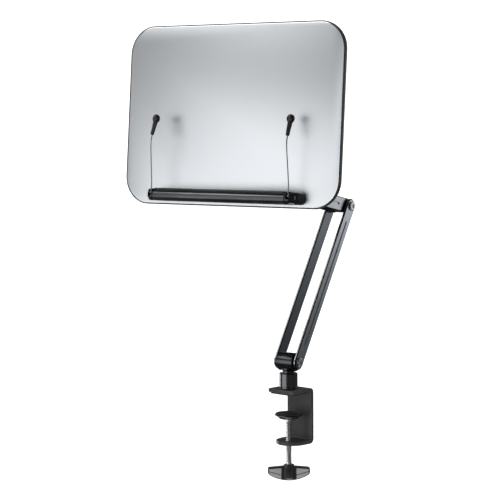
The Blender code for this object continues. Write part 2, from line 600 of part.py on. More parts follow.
def make_panel():
    """Face sheet in the rim of the black back, backing plate inside it and mount flange."""
    middle = on_panel(0.0, PANEL_HEIGHT / 2, 0.0)[:2]
    trim = 2 * FACE_INSET
    outline = rounded_rectangle(PANEL_WIDTH - trim, PANEL_HEIGHT - trim, PANEL_CORNER - FACE_INSET, middle)
    face = outline_solid("panel_face", outline, -FACE_THICK, 0.0)
    give(face, panel_frame, SILVER_SHEET)
    outline = rounded_rectangle(PANEL_WIDTH, PANEL_HEIGHT, PANEL_CORNER, middle)
    back = outline_solid("panel_back", outline, -PANEL_THICK, -RIM_SETBACK)
    give(back, panel_frame, BLACK_ABS)
    seat = FACE_INSET - GAP
    outline = rounded_rectangle(PANEL_WIDTH - 2 * seat, PANEL_HEIGHT - 2 * seat, PANEL_CORNER - seat, middle)
    recess = outline_solid("face_seat", outline, -FACE_THICK - GAP, 2.0 * MM)
    boolean(back, give_cutter(recess, panel_frame))
    pocket_floor = -PANEL_THICK + BACK_THICK
    outline = rounded_rectangle(71.0 * MM, 57.0 * MM, 5.5 * MM, steps=3)
    boolean(back, give_cutter(outline_solid("backing_pocket", outline, pocket_floor, 0.0), panel_frame))
    outline = rounded_rectangle(70.0 * MM, 56.0 * MM, 5.0 * MM, steps=3)
    backing = outline_solid("mount_backing_plate", outline, pocket_floor + GAP, -FACE_THICK - GAP)
    give(backing, panel_frame, BRIGHT_STEEL)

    seat = -PANEL_THICK - GAP
    disc = seat - FLANGE_THICK
    end = COLLAR_TO_PIVOT - PIVOT_TO_FACE
    bore = SPINDLE_RADIUS + GAP
    neck = 11.5 * MM
    profile = [(bore, seat), (bore, end), (neck - 0.8 * MM, end), (neck, end + 0.8 * MM),
               (neck, disc - 3.0 * MM), (neck + 1.2 * MM, disc - 1.0 * MM), (neck + 3.0 * MM, disc),
               (FLANGE_RADIUS - 1.0 * MM, disc), (FLANGE_RADIUS, disc + 1.0 * MM), (FLANGE_RADIUS, seat)]
    flange = turned("mount_flange", profile[::-1], True, steps=ROUND)
    give(flange, panel_frame, BLACK_ANODISED)
    height = end + 5.0 * MM
    drill(flange, panel_frame, GRUB_RADIUS + GAP, -neck - 2 * MM, -SPINDLE_RADIUS, "Y", (0, 0, height))
    grub_screw("head_grub_screw", panel_frame, height, neck, -1)

    for number, (x, y, z) in enumerate(mount_screw_places(), 1):
        for piece in (flange, back, backing):
            drill(piece, panel_frame, 2.3 * MM, disc - 4 * MM, -FACE_THICK - 0.1 * MM, at=(x, y, z),
                  sides=10)
        pan_screw(f"mount_screw_{number}", (x, y, z), disc - GAP, -FACE_THICK - 0.6 * MM)
    return face, back


def pan_screw(name, place, seat, tip):
    """Pan-head screw driven forwards from behind the panel."""
    head = seat - 2.2 * MM
    profile = [(0.0, tip), (1.6 * MM, tip), (2.0 * MM, tip - 0.5 * MM), (2.0 * MM, seat),
               (3.6 * MM, seat), (3.6 * MM, seat - 1.2 * MM), (2.6 * MM, head), (0.0, head)]
    screw = give(turned(name, profile, at=place, steps=10), panel_frame, BRIGHT_STEEL)
    drill(screw, panel_frame, 1.25 * MM, head - MM, head + 1.2 * MM, at=place, sides=6)


def ledge_profile():
    """Cross-section of the ledge bar: depth from the panel's front, height from its lower edge."""
    nose = 4.0 * MM
    front = LEDGE_DEPTH
    points = [(GAP, LEDGE_BOTTOM), (GAP, LEDGE_FLOOR), (front - 6.4 * MM, LEDGE_FLOOR),
              (front - 6.4 * MM, LEDGE_TOP - 0.8 * MM), (front - 5.6 * MM, LEDGE_TOP)]
    points += arc((front - nose, LEDGE_TOP - nose), nose, 90, 0, 4)
    points += arc((front - nose, LEDGE_BOTTOM + nose), nose, 0, -90, 4)
    points += [(front - 7.9 * MM, LEDGE_BOTTOM), (front - 7.9 * MM, LEDGE_FLOOR - 2.8 * MM),
               (4.5 * MM, LEDGE_FLOOR - 2.8 * MM), (4.5 * MM, LEDGE_BOTTOM)]
    return [(height - MOUNT_HEIGHT, depth) for depth, height in points]


def mat_profile():
    """Cross-section of the rubber mat: a foot in the bar's channel under a top that reaches over the nose."""
    back = 0.8 * MM
    foot = LEDGE_DEPTH - 7.0 * MM
    under = MAT_TOP - MAT_LIP_THICK
    edge = 0.6 * MM
    points = [(back, LEDGE_FLOOR + GAP), (back, MAT_TOP), (MAT_LIP_FRONT - edge, MAT_TOP),
              (MAT_LIP_FRONT, MAT_TOP - edge), (MAT_LIP_FRONT, under + edge), (MAT_LIP_FRONT - edge, under),
              (foot, under), (foot, LEDGE_FLOOR + GAP)]
    return [(height - MOUNT_HEIGHT, depth) for depth, height in points]


def make_ledge(face, back):
    """Book ledge: extruded bar, rubber mat, end caps and fixing screws."""
    bar = outline_solid("ledge_bar", ledge_profile(), -LEDGE_HALF_LENGTH, LEDGE_HALF_LENGTH, SIDE)
    give(bar, panel_frame, DARK_BAR)
    mat = outline_solid("ledge_mat", mat_profile(), -MAT_HALF_LENGTH, MAT_HALF_LENGTH, SIDE)
    give(mat, panel_frame, BLACK_RUBBER)
    for number, place in enumerate(ledge_screw_places(), 1):
        for piece in (face, back, bar):
            drill(piece, panel_frame, 2.3 * MM, -PANEL_THICK - 3 * MM, 6.0 * MM, at=place, sides=10)
        pan_screw(f"ledge_screw_{number}", place, -PANEL_THICK - GAP, 6.5 * MM)
    for side, way in (("left", -1), ("right", 1)):
        make_end_cap(side, way)
        make_holder(side, way)


def round_outer_edges(cap, start, back):
    """Round the cap's top and bottom edges, but not where it meets the bar and the panel."""
    work = bmesh.new()
    work.from_mesh(cap.data)
    bmesh.ops.dissolve_limit(work, angle_limit=radians(1.0), verts=work.verts, edges=work.edges)
    spare = 0.01 * MM
    edges = []
    for edge in work.edges:
        ends = [vertex.co for vertex in edge.verts]
        level = abs(ends[0].y - ends[1].y) < spare
        inner = all(abs(end.x) < start + spare for end in ends) or all(end.z < back + spare for end in ends)
        if level and not inner and len({round(face.normal.y) for face in edge.link_faces}) > 1:
            edges.append(edge)
    bmesh.ops.bevel(work, geom=edges, offset=LEDGE_CAP_ROUNDING, offset_type="OFFSET", segments=3,
                    profile=0.5, affect="EDGES", material=-1)
    work.to_mesh(cap.data)
    work.free()


def make_end_cap(side, way):
    """Moulded end of the ledge, with the slot that the page holder's hub turns in."""
    start = LEDGE_HALF_LENGTH + GAP
    corner = LEDGE_CAP_CORNER
    outline = [(start, GAP), (LEDGE_CAP_END, GAP)]
    outline += arc((LEDGE_CAP_END - corner, LEDGE_DEPTH - corner), corner, 0, 90, 6)
    outline += [(start, LEDGE_DEPTH)]
    outline = [(way * x, depth) for x, depth in outline]
    low = LEDGE_BOTTOM - MOUNT_HEIGHT
    high = LEDGE_CAP_TOP - MOUNT_HEIGHT
    cap = outline_solid(f"ledge_end_cap_{side}", outline, low, high, PLAN)
    round_outer_edges(cap, start, GAP)
    give(cap, panel_frame, BLACK_ABS)
    half = 2.6 * MM
    low = on_panel(way * HOLDER_X - half, HOLDER_HEIGHT - HUB_RADIUS - 0.6 * MM, HOLDER_DEPTH - 3.8 * MM)
    high = on_panel(way * HOLDER_X + half, LEDGE_CAP_TOP + 5.0 * MM, LEDGE_DEPTH + MM)
    boolean(cap, give_cutter(block(f"hub_slot_{side}", low, high), panel_frame))
    place = on_panel(0.0, HOLDER_HEIGHT, HOLDER_DEPTH)
    low, high = sorted((way * (start - MM), way * (LEDGE_CAP_END - 6.0 * MM)))
    drill(cap, panel_frame, 1.4 * MM, low, high, "X", place, 12)
    low, high = sorted((way * (start + 0.2 * MM), way * (LEDGE_CAP_END - 6.3 * MM)))
    pin = cylinder(f"holder_pin_{side}", 1.1 * MM, low, high, "X", place, 12)
    give(pin, panel_frame, BRIGHT_STEEL)


# Route of a page holder's wire from its hub: inwards, up and out from the panel
WIRE_ROUTE = ((0.0, 3.6, 0.0), (0.1, 14.0, 1.6), (0.5, 34.0, 4.6), (1.0, 54.0, 7.5), (1.4, 64.0, 8.6),
              (1.5, 70.0, 8.3), (1.6, 77.0, 6.9), (1.9, 85.0, 4.2), (2.1, 92.0, 1.9))
SLEEVE_LOW = (1.6, 76.6, 7.05)
SLEEVE_HIGH = (2.1, 91.6, 2.0)
TIP_PLACE = (2.2, 98.0, 0.2)


def make_holder(side, way):
    """Sprung-wire page holder: hub, wire, sleeve and tip, turning on the pin."""
    name = f"page_holder_{side}"
    place = panel_frame.matrix_basis @ Vector(on_panel(way * HOLDER_X, HOLDER_HEIGHT, HOLDER_DEPTH))
    frame = add_frame(name + "_frame", place, FACE_TURN)
    half = 2.3 * MM
    ring = [(1.4 * MM, half), (HUB_RADIUS - 0.4 * MM, half), (HUB_RADIUS, half - 0.4 * MM),
            (HUB_RADIUS, -half + 0.4 * MM), (HUB_RADIUS - 0.4 * MM, -half), (1.4 * MM, -half)]
    give(turned(f"holder_hub_{side}", ring, True, "X", steps=12), frame, BRIGHT_STEEL)

    curve = bpy.data.curves.new(f"holder_wire_{side}", "CURVE")
    curve.dimensions = "3D"
    curve.bevel_depth = WIRE_RADIUS
    curve.bevel_resolution = 2
    curve.use_fill_caps = True
    spline = curve.splines.new("POLY")
    spline.points.add(len(WIRE_ROUTE) - 1)
    for point, (inwards, up, out) in zip(spline.points, WIRE_ROUTE):
        point.co = (-way * inwards * MM, up * MM, out * MM, 1.0)
    wire = bpy.data.objects.new(f"holder_wire_{side}", curve)
    PARTS.objects.link(wire)
    wire.parent = frame
    curve.materials.append(BRIGHT_STEEL)

    low = Vector((-way * SLEEVE_LOW[0], *SLEEVE_LOW[1:])) * MM
    high = Vector((-way * SLEEVE_HIGH[0], *SLEEVE_HIGH[1:])) * MM
    length = (high - low).length
    tube = [(1.5 * MM, length), (2.5 * MM, length), (2.1 * MM, 0.0), (1.5 * MM, 0.0)]
    sleeve = turned(f"holder_sleeve_{side}", tube, True, steps=10)
    turn = (high - low).to_track_quat("Z", "Y").to_matrix().to_4x4()
    sleeve.matrix_local = Matrix.Translation(low) @ turn
    give(sleeve, frame, BLACK_RUBBER)

    radius = 5.5 * MM
    thick = 3.4 * MM
    angles = [radians(90 - 180 * i / 6) for i in range(7)]
    lens = [(max(radius * cos(a), 0.0), thick * sin(a)) for a in angles]
    lens[0] = (0.0, thick)
    lens[-1] = (0.0, -thick)
    centre = Vector((-way * TIP_PLACE[0], *TIP_PLACE[1:])) * MM
    tip = turned(f"holder_tip_{side}", lens, at=centre, steps=12)
    give(tip, frame, BLACK_RUBBER)


make_bracket()
make_jaw_pad()
make_post()
make_pressure_pad()
make_clamp_screw()
make_arms()
panel_face, panel_back = make_panel()
make_ledge(panel_face, panel_back)
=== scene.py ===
# %% [markdown]
# # A clamp-on book stand
#
# A desk clamp carries a post, two arm sections made of plate pairs, and a silver panel with a book
# ledge and two sprung page holders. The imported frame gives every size, place and joint, so this
# lesson only makes what the eye sees: each piece gets its fine form and a finish of its own.

# %% Load the frame
import json
from math import cos, degrees, pi, radians, sin, tau

import bmesh
import bpy
from mathutils import Matrix, Vector


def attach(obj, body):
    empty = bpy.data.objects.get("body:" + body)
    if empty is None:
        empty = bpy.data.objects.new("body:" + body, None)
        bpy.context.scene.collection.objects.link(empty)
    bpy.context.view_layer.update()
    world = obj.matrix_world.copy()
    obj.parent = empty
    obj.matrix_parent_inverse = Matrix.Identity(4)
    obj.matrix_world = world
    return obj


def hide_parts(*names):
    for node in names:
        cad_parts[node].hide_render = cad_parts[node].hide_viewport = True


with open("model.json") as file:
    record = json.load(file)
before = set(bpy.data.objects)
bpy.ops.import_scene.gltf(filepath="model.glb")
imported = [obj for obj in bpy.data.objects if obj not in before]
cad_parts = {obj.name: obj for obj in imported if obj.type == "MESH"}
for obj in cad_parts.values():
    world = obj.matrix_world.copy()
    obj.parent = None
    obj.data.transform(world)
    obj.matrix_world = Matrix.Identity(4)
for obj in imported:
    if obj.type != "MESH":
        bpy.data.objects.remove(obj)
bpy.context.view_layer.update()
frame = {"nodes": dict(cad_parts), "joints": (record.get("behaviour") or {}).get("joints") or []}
MM = 0.001

# %% [markdown]
# ## Places to work in
#
# Every hinge of the arm turns about the world's X axis, so one rule gives each part a frame of its
# own: X stays the world's, Z runs along the part, Y is what is left. The joints say where each frame
# stands. In such a frame an arm is a plain upright bar, which is far easier to model than a leaning
# one.

# %% Frames of the moving parts
JOINTS = {joint["name"]: joint for joint in frame["joints"]}


def joint_point(name):
    """Where a joint's axis stands, in metres."""
    return Vector(JOINTS[name]["pos_m"])


def upright_frame(point, direction):
    """Frame at a point whose Z runs along a direction, square to the world's X axis."""
    z = Vector(direction).normalized()
    x = Vector((1, 0, 0))
    turn = Matrix((x, z.cross(x), z)).transposed().to_4x4()
    return Matrix.Translation(point) @ turn


BASE_POINT = joint_point("lower_arm_tilt")
ELBOW_POINT = joint_point("elbow_fold")
HEAD_POINT = joint_point("head_tilt")
FACING = Vector(JOINTS["panel_turn"]["axis"])
CLAMP_TURN = radians(-8.9)        # the clamp's mouth is turned a little against the arm
KNOB_TURN = radians(34.0)         # the way the wings of the knob point at rest

CLAMP = Matrix.Rotation(CLAMP_TURN, 4, "Z")
KNOB = Matrix.Rotation(KNOB_TURN, 4, "Z")
SWIVEL = upright_frame(BASE_POINT, (0, 0, 1))
LOWER = upright_frame(BASE_POINT, ELBOW_POINT - BASE_POINT)
ELBOW = upright_frame(ELBOW_POINT, ELBOW_POINT - BASE_POINT)
UPPER = upright_frame(ELBOW_POINT, HEAD_POINT - ELBOW_POINT)
FAR_UPPER = upright_frame(HEAD_POINT, HEAD_POINT - ELBOW_POINT)
HEAD = upright_frame(HEAD_POINT, FACING)
PANEL = upright_frame(joint_point("panel_turn"), FACING)
SIDES = (("left", -1), ("right", 1))
HOLDERS = {side: upright_frame(joint_point(f"page_holder_{side}_fold"), FACING) for side, _ in SIDES}


def node_box(node, place):
    """Lowest and highest corner of a frame node, measured along a place's own axes."""
    inverse = place.inverted()
    points = [inverse @ vertex.co for vertex in frame["nodes"][node].data.vertices]
    low = Vector([min(point[i] for point in points) for i in range(3)])
    high = Vector([max(point[i] for point in points) for i in range(3)])
    return low, high


arm_length = (ELBOW_POINT - BASE_POINT).length
panel_lean = 90 - degrees(FACING.angle(Vector((0, 0, 1))))
print(f"arm section {arm_length / MM:.1f} mm, panel leans back {panel_lean:.1f} degrees")

# %% [markdown]
# ## Small tools for making meshes
#
# Real parts are turned, sawn from bar, bent or moulded. The helpers follow those trades: a lathe
# (`bmesh.ops.spin`), a cutter (an exact Boolean) and a file that breaks sharp edges
# (`bmesh.ops.bevel`). An edge that is left razor sharp never catches a highlight, so nearly every
# piece passes under the file.

# %% Lathe, cutter and file
WELD = 0.002 * MM


def bevel_args(width, segments):
    """Settings that every bevel here shares."""
    return {"offset": width, "offset_type": "OFFSET", "segments": segments, "profile": 0.5, "material": -1}


def soften(work, width, segments=2, angle=30.0, keep=None):
    """File the edges that are sharper than an angle, or only those that a rule keeps."""
    edges = [edge for edge in work.edges if edge.is_manifold and edge.calc_face_angle() > radians(angle)
             and (keep is None or keep(edge))]
    bmesh.ops.bevel(work, geom=edges, affect="EDGES", clamp_overlap=True, **bevel_args(width, segments))


def turned(profile, steps=64, closed=False, axis="Z"):
    """Turn a profile of radii and heights on a lathe."""
    work = bmesh.new()
    verts = [work.verts.new((radius, 0, height)) for radius, height in profile]
    pairs = list(zip(verts, verts[1:])) + ([(verts[-1], verts[0])] if closed else [])
    edges = [work.edges.new(pair) for pair in pairs]
    bmesh.ops.spin(work, geom=verts + edges, cent=(0, 0, 0), axis=(0, 0, 1), angle=tau, steps=steps,
                   use_merge=True)
    bmesh.ops.remove_doubles(work, verts=work.verts, dist=WELD)
    bmesh.ops.recalc_face_normals(work, faces=work.faces)
    if axis == "X":
        bmesh.ops.rotate(work, verts=work.verts, cent=(0, 0, 0), matrix=Matrix.Rotation(pi / 2, 3, "Y"))
    if axis == "Y":
        bmesh.ops.rotate(work, verts=work.verts, cent=(0, 0, 0), matrix=Matrix.Rotation(-pi / 2, 3, "X"))
    return work


def box(low, high):
    """A block between two corners."""
    work = bmesh.new()
    size = Vector(high) - Vector(low)
    place = Matrix.Translation((Vector(high) + Vector(low)) / 2) @ Matrix.Diagonal((*size, 1))
    bmesh.ops.create_cube(work, size=1.0, matrix=place)
    return work


def rod(radius, low, high, axis="Z", at=(0, 0, 0), sides=32, mouth=0.0):
    """A rod along an axis; a mouth above zero flares its high end, to cut a hole with a broken edge."""
    profile = [(0, low), (radius, low), (radius, high)]
    if mouth:
        profile = [(0, low), (radius, low), (radius, high - mouth), (radius + 2 * mouth, high + mouth)]
    work = turned(profile + [(0, profile[-1][1])], sides, axis=axis)
    bmesh.ops.translate(work, verts=work.verts, vec=at)
    return work


def thicken(work, vector):
    """Give a mesh of one flat face thickness, as one closed solid."""
    made = bmesh.ops.extrude_face_region(work, geom=list(work.faces), use_keep_orig=True)
    moved = [item for item in made["geom"] if isinstance(item, bmesh.types.BMVert)]
    bmesh.ops.translate(work, verts=moved, vec=vector)
    bmesh.ops.recalc_face_normals(work, faces=work.faces)
    return work


def rounded_sheet(low, high, corner, segments=14):
    """A sheet with round corners, flat in X and Y, from the lowest to the highest corner."""
    work = bmesh.new()
    size = Vector(high) - Vector(low)
    middle = (Vector(high) + Vector(low)) / 2
    place = Matrix.Translation((middle.x, middle.y, low[2])) @ Matrix.Diagonal((size.x, size.y, 1, 1))
    bmesh.ops.create_grid(work, x_segments=1, y_segments=1, size=0.5, matrix=place)
    bmesh.ops.bevel(work, geom=list(work.verts), affect="VERTICES", **bevel_args(corner, segments))
    return thicken(work, (0, 0, size.z))


def long_bar(radius, length, low, high, segments=48):
    """A bar with round ends: thin along X, long along Z, its lower end's centre at the origin."""
    work = bmesh.new()
    stand = Matrix.Translation((low, 0, 0)) @ Matrix.Rotation(pi / 2, 4, "Y")
    bmesh.ops.create_circle(work, cap_ends=True, segments=segments, radius=radius, matrix=stand)
    for vertex in work.verts:
        if vertex.co.z > WELD:
            vertex.co.z += length
    return thicken(work, (high - low, 0, 0))


def temporary_object(work):
    """Put a mesh in a linked object, so that a modifier can read it."""
    mesh = bpy.data.meshes.new("temporary")
    work.to_mesh(mesh)
    work.free()
    item = bpy.data.objects.new("temporary", mesh)
    bpy.context.scene.collection.objects.link(item)
    return item


def combine(work, tools, operation="DIFFERENCE"):
    """Cut a mesh with other meshes, or join them to it, with the exact Boolean."""
    piece = temporary_object(work)
    helpers = [temporary_object(tool) for tool in tools]
    for helper in helpers:
        step = piece.modifiers.new("cut", "BOOLEAN")
        step.operation = operation
        step.solver = "EXACT"
        step.object = helper
    mesh = bpy.data.meshes.new_from_object(piece.evaluated_get(bpy.context.evaluated_depsgraph_get()))
    result = bmesh.new()
    result.from_mesh(mesh)
    for item in [piece] + helpers:
        bpy.data.objects.remove(item, do_unlink=True)
    bpy.data.meshes.remove(mesh)
    return result


print("lathe, cutter and file are ready")

# %% [markdown]
# ## Handing a piece in
#
# A finished piece has its place in its mesh, rides on a body and stands for the frame nodes it
# covers. It also gets one number per face, `edge`: high on the narrow strips that the file left along
# an edge. Handling rubs a finish off its edges first, so the materials show wear there and only there.

# %% Finish a piece
STRIP_WIDTH = 1.3 * MM             # a face narrower than this counts as a filed edge
FULL_TURN = radians(12.0)          # a strip that bends this much is fully an edge
made_pieces = []


def finish(work, node, place, body, finishes, angle=32.0):
    """Place a mesh, give it its materials and let it ride on its body in place of a frame node."""
    bmesh.ops.remove_doubles(work, verts=work.verts, dist=WELD)
    bmesh.ops.recalc_face_normals(work, faces=work.faces)
    bmesh.ops.transform(work, matrix=place, verts=work.verts)
    layer = work.faces.layers.float.new("edge")
    for face in work.faces:
        long_edges = sorted(face.edges, key=lambda edge: edge.calc_length())[-2:]
        turn = min(edge.calc_face_angle(0.0) for edge in long_edges)
        narrow = face.calc_area() < STRIP_WIDTH * long_edges[-1].calc_length()
        face[layer] = min(turn / FULL_TURN, 1.0) if narrow else 0.0
    mesh = bpy.data.meshes.new(node + "_finished")
    work.to_mesh(mesh)
    work.free()
    for material in finishes:
        mesh.materials.append(material)
    mesh.shade_smooth()
    mesh.set_sharp_from_angle(angle=radians(angle))
    piece = bpy.data.objects.new(node + "_finished", mesh)
    bpy.context.scene.collection.objects.link(piece)
    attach(piece, body)
    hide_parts(node)
    made_pieces.append(piece)
    print(f"{piece.name}: {len(mesh.polygons)} faces")


print(f"strips under {STRIP_WIDTH / MM:.1f} mm count as edges")

# %% [markdown]
# ## Finishes
#
# Each finish starts from the real material and from how its surface was made. Three things vary on
# any real surface: a slow drift of shade over centimetres, a fine grain in the gloss, and a relief
# that breaks up reflections. One recipe holds those three, and each finish gives it real sizes in
# millimetres. Metals keep the default IOR and get their colour from the base colour; plastics,
# paint and rubber get theirs from below a clear reflection.

# %% One recipe for a surface
def linear(code):
    """Turn an sRGB hex colour into linear light."""
    channels = [int(code[i:i + 2], 16) / 255 for i in (1, 3, 5)]
    return [c / 12.92 if c <= 0.04045 else ((c + 0.055) / 1.055) ** 2.4 for c in channels] + [1.0]


def add_node(tree, kind, settings=None, values=None, links=None):
    """Add a node with its settings, socket values and incoming links."""
    node = tree.nodes.new(kind)
    for name, value in (settings or {}).items():
        setattr(node, name, value)
    for name, value in (values or {}).items():
        node.inputs[name].default_value = value
    for name, socket in (links or {}).items():
        tree.links.new(socket, node.inputs[name])
    return node


def surface(name, colour, drift, metallic, roughness, gloss_spread, grain, relief, stretch=(1, 1, 1),
            turn=(0, 0, 0), cloud=35.0, worn=None, wear=0.0, fixed=None):
    """A finish: sizes of grain, relief and cloud are in millimetres, stretch is how long the grain runs."""
    material = bpy.data.materials.new(name)
    material.use_nodes = True
    tree = material.node_tree
    shader = tree.nodes["Principled BSDF"]
    shader.inputs["Metallic"].default_value = metallic
    for socket, value in (fixed or {}).items():
        shader.inputs[socket].default_value = value
    where = add_node(tree, "ShaderNodeTexCoord").outputs["Object"]
    turned_to = add_node(tree, "ShaderNodeMapping", {"vector_type": "TEXTURE"}, {"Rotation": turn},
                         {"Vector": where})
    scale = [1 / (grain * MM * length) for length in stretch]
    along = add_node(tree, "ShaderNodeMapping", None, {"Scale": scale},
                     {"Vector": turned_to.outputs["Vector"]})
    fine = add_node(tree, "ShaderNodeTexNoise", None, {"Scale": 1.0, "Detail": 3.0, "Roughness": 0.6},
                    {"Vector": along.outputs["Vector"]}).outputs["Fac"]
    slow = add_node(tree, "ShaderNodeTexNoise", None, {"Scale": 1 / (cloud * MM), "Detail": 2.0},
                    {"Vector": where}).outputs["Fac"]
    # A colour mix has its factor at input 0, its colours at 6 and 7, and its result at output 2.
    shade = add_node(tree, "ShaderNodeMix", {"data_type": "RGBA"}, {6: linear(colour), 7: linear(drift)},
                     {0: slow}).outputs[2]
    if worn:
        edge = add_node(tree, "ShaderNodeAttribute", {"attribute_name": "edge"}).outputs["Fac"]
        patch = add_node(tree, "ShaderNodeMapRange", None,
                         {"From Min": 0.42, "From Max": 0.62, "To Min": 0.0, "To Max": wear},
                         {"Value": slow}).outputs["Result"]
        rubbed = add_node(tree, "ShaderNodeMath", {"operation": "MULTIPLY"}, None,
                          {0: edge, 1: patch}).outputs[0]
        shade = add_node(tree, "ShaderNodeMix", {"data_type": "RGBA"}, {7: linear(worn)},
                         {0: rubbed, 6: shade}).outputs[2]
    tree.links.new(shade, shader.inputs["Base Color"])
    gloss = add_node(tree, "ShaderNodeMapRange", None,
                     {"From Min": 0.3, "From Max": 0.7, "To Min": roughness - gloss_spread,
                      "To Max": roughness + gloss_spread}, {"Value": fine}).outputs["Result"]
    tree.links.new(gloss, shader.inputs["Roughness"])
    bump = add_node(tree, "ShaderNodeBump", None, {"Strength": 1.0, "Distance": relief * MM},
                    {"Height": fine})
    tree.links.new(bump.outputs["Normal"], shader.inputs["Normal"])
    return material


print("the surface recipe is ready")

# %% [markdown]
# ### Metals
#
# Anodising leaves the grain of the sheet or bar showing under a thin clear or dyed oxide. Rolled
# sheet has grain along its length, sawn and brushed bar along its length too, and turned parts have
# rings too fine to see. The sheet's chamfer is cut after anodising with a polished tool, so it flashes.

# %% Metal finishes
LOWER_LEAN = (LOWER.to_euler().x, 0, 0)
UPPER_LEAN = (UPPER.to_euler().x, 0, 0)
SILVER_SHEET = surface("clear_anodised_aluminium_sheet", "#E2E6EA", "#E8EBEE", 1.0, 0.42, 0.03, 0.35, 0.002,
                       stretch=(30, 1, 1), cloud=120.0)
BRIGHT_CUT = surface("polished_aluminium_chamfer", "#E6E8EA", "#F0F1F2", 1.0, 0.14, 0.03, 0.5, 0.001)
ARM_LOWER = surface("grey_anodised_aluminium_bar_lower", "#92969C", "#9A9EA4", 1.0, 0.30, 0.04, 0.25, 0.003,
                    stretch=(1, 1, 40), turn=LOWER_LEAN, worn="#B4B7BB", wear=0.5)
ARM_EDGE = surface("satin_anodised_plate_edge", "#9DA0A4", "#A6A8AC", 1.0, 0.22, 0.04, 0.25, 0.002,
                   stretch=(1, 1, 40), turn=LOWER_LEAN)
# Painted shade: a darker grey for the plate faces that look towards each other, where shade falls between the
# plates.
INSIDE_FACE_SHADE = surface("anodised_inner_face_painted_shade", "#585C62", "#5E6268", 1.0, 0.32, 0.04, 0.25, 0.003,
                     stretch=(1, 1, 40), turn=LOWER_LEAN)
OXIDE = surface("black_oxide_steel", "#3A3A3C", "#2E2E30", 1.0, 0.34, 0.05, 0.35, 0.002, cloud=6.0)
ARM_UPPER = surface("grey_anodised_aluminium_bar_upper", "#8E9296", "#969A9E", 1.0, 0.30, 0.04, 0.25, 0.003,
                    stretch=(1, 1, 40), turn=UPPER_LEAN, worn="#B4B7BB", wear=0.5)
# Painted shade: near black for the arm plates' chamfers and for the rounded ends of the ledge's nose.
CHAMFER_SHADE = surface("chamfer_painted_shade", "#0C0D0E", "#121314", 1.0, 0.30, 0.04, 0.5, 0.001)
NICKEL = surface("nickel_plated_steel", "#C6C8CA", "#B9BBBD", 1.0, 0.34, 0.04, 0.4, 0.001, cloud=8.0)
ZINC = surface("zinc_plated_screw_steel", "#DCDEE0", "#D0D2D4", 1.0, 0.26, 0.06, 0.35, 0.002, cloud=9.0)
SPRING = surface("drawn_spring_steel_wire", "#9DA0A3", "#8A8D90", 1.0, 0.22, 0.05, 0.2, 0.001,
                 stretch=(1, 1, 20), cloud=12.0)
TURNED_BLACK = surface("black_anodised_turned_aluminium", "#67686B", "#606164", 1.0, 0.20, 0.03, 0.3, 0.0015,
                       cloud=14.0, worn="#6E7073", wear=0.35)
KNUCKLE_BLACK = surface("black_anodised_knuckle", "#4C4D50", "#464749", 1.0, 0.22, 0.03, 0.3, 0.0015,
                        cloud=14.0, worn="#6E7073", wear=0.35)
# Painted highlight: a lighter grey for the faces of the ledge's nose that look up and forward.
NOSE_HIGHLIGHT = surface("anodised_nose_painted_highlight", "#8C8E90", "#77797B", 1.0, 0.30, 0.04, 0.3, 0.002,
                     stretch=(40, 1, 1), cloud=30.0)
BAR_GREY = surface("dark_grey_anodised_extrusion", "#4E5052", "#4A4C4E", 1.0, 0.28, 0.04, 0.3, 0.002,
                   stretch=(40, 1, 1), cloud=45.0, worn="#8C8E90", wear=0.4)
print(len(bpy.data.materials), "metals")

# %% [markdown]
# ### Plastic, paint and rubber
#
# The knob and the panel's back come out of a spark-eroded mould, which leaves a fine even stipple.
# The ledge ends come out of a polished mould and are glossy. Powder coat flows a little as it is
# baked, so it has the soft waviness of orange peel. Rubber is matt, with a bloom that greys it. The
# grey inlays have metal flake in the plastic, so they are part metal, and their grain is drawn
# coarser than the real one so that it shows.

# %% Plastic, paint and rubber finishes
PLASTIC = {"IOR": 1.53}
RUBBER = {"IOR": 1.50, "Specular IOR Level": 0.35}
ABS_STIPPLE = surface("black_abs_spark_textured", "#121213", "#171718", 0.0, 0.42, 0.06, 0.45, 0.02,
                      worn="#2C2C2E", wear=0.4, fixed=PLASTIC)
ABS_GLOSS = surface("black_abs_glossy", "#08080A", "#0B0B0D", 0.0, 0.10, 0.03, 1.2, 0.002, fixed=PLASTIC)
ABS_GREY = surface("grey_satin_wing_inlay", "#A4A5A8", "#AEAFB2", 0.6, 0.38, 0.06, 0.4, 0.01, fixed=PLASTIC)
POWDER = surface("black_powder_coat_on_steel", "#262628", "#2B2B2D", 0.0, 0.38, 0.05, 0.8, 0.02,
                 worn="#4A4A4C", wear=0.5, fixed={"IOR": 1.5, "Specular IOR Level": 0.35})
BLACK_RUBBER = surface("black_moulded_rubber", "#141415", "#1C1C1D", 0.0, 0.62, 0.08, 0.5, 0.015,
                       worn="#303031", wear=0.6, fixed=RUBBER)
MAT_RUBBER = surface("dark_grey_mat_rubber", "#2C2C2D", "#333334", 0.0, 0.58, 0.07, 0.6, 0.015,
                     worn="#454546", wear=0.5, fixed=RUBBER)
TIP_RUBBER = surface("black_soft_pvc_tip", "#0C0C0D", "#101011", 0.0, 0.12, 0.04, 0.9, 0.003, fixed=PLASTIC)
NYLON = surface("black_nylon_washer", "#1A1A1A", "#202020", 0.0, 0.45, 0.05, 0.4, 0.004, fixed=PLASTIC)
print(len(bpy.data.materials), "finishes")

# %% [markdown]
# ## The silver sheet
#
# The front of the panel is a sheet of clear anodised aluminium. Its edge is milled to a small
# polished chamfer, the bright line just inside the black rim. A grid of one square with bevelled
# corners gives the outline, and a bevel of the front rim alone gives the chamfer, whose new faces
# take the polished finish.

# %% Silver sheet
FACE_CORNER = 36.7 * MM
CHAMFER = 0.9 * MM
SCREW_CLEARANCE = 2.3 * MM
LEDGE_SCREWS = [f"ledge_screw_{i}" for i in (1, 2, 3)]
MOUNT_SCREWS = [f"mount_screw_{i}" for i in (1, 2, 3, 4)]
face_low, face_high = node_box("panel_face", PANEL)


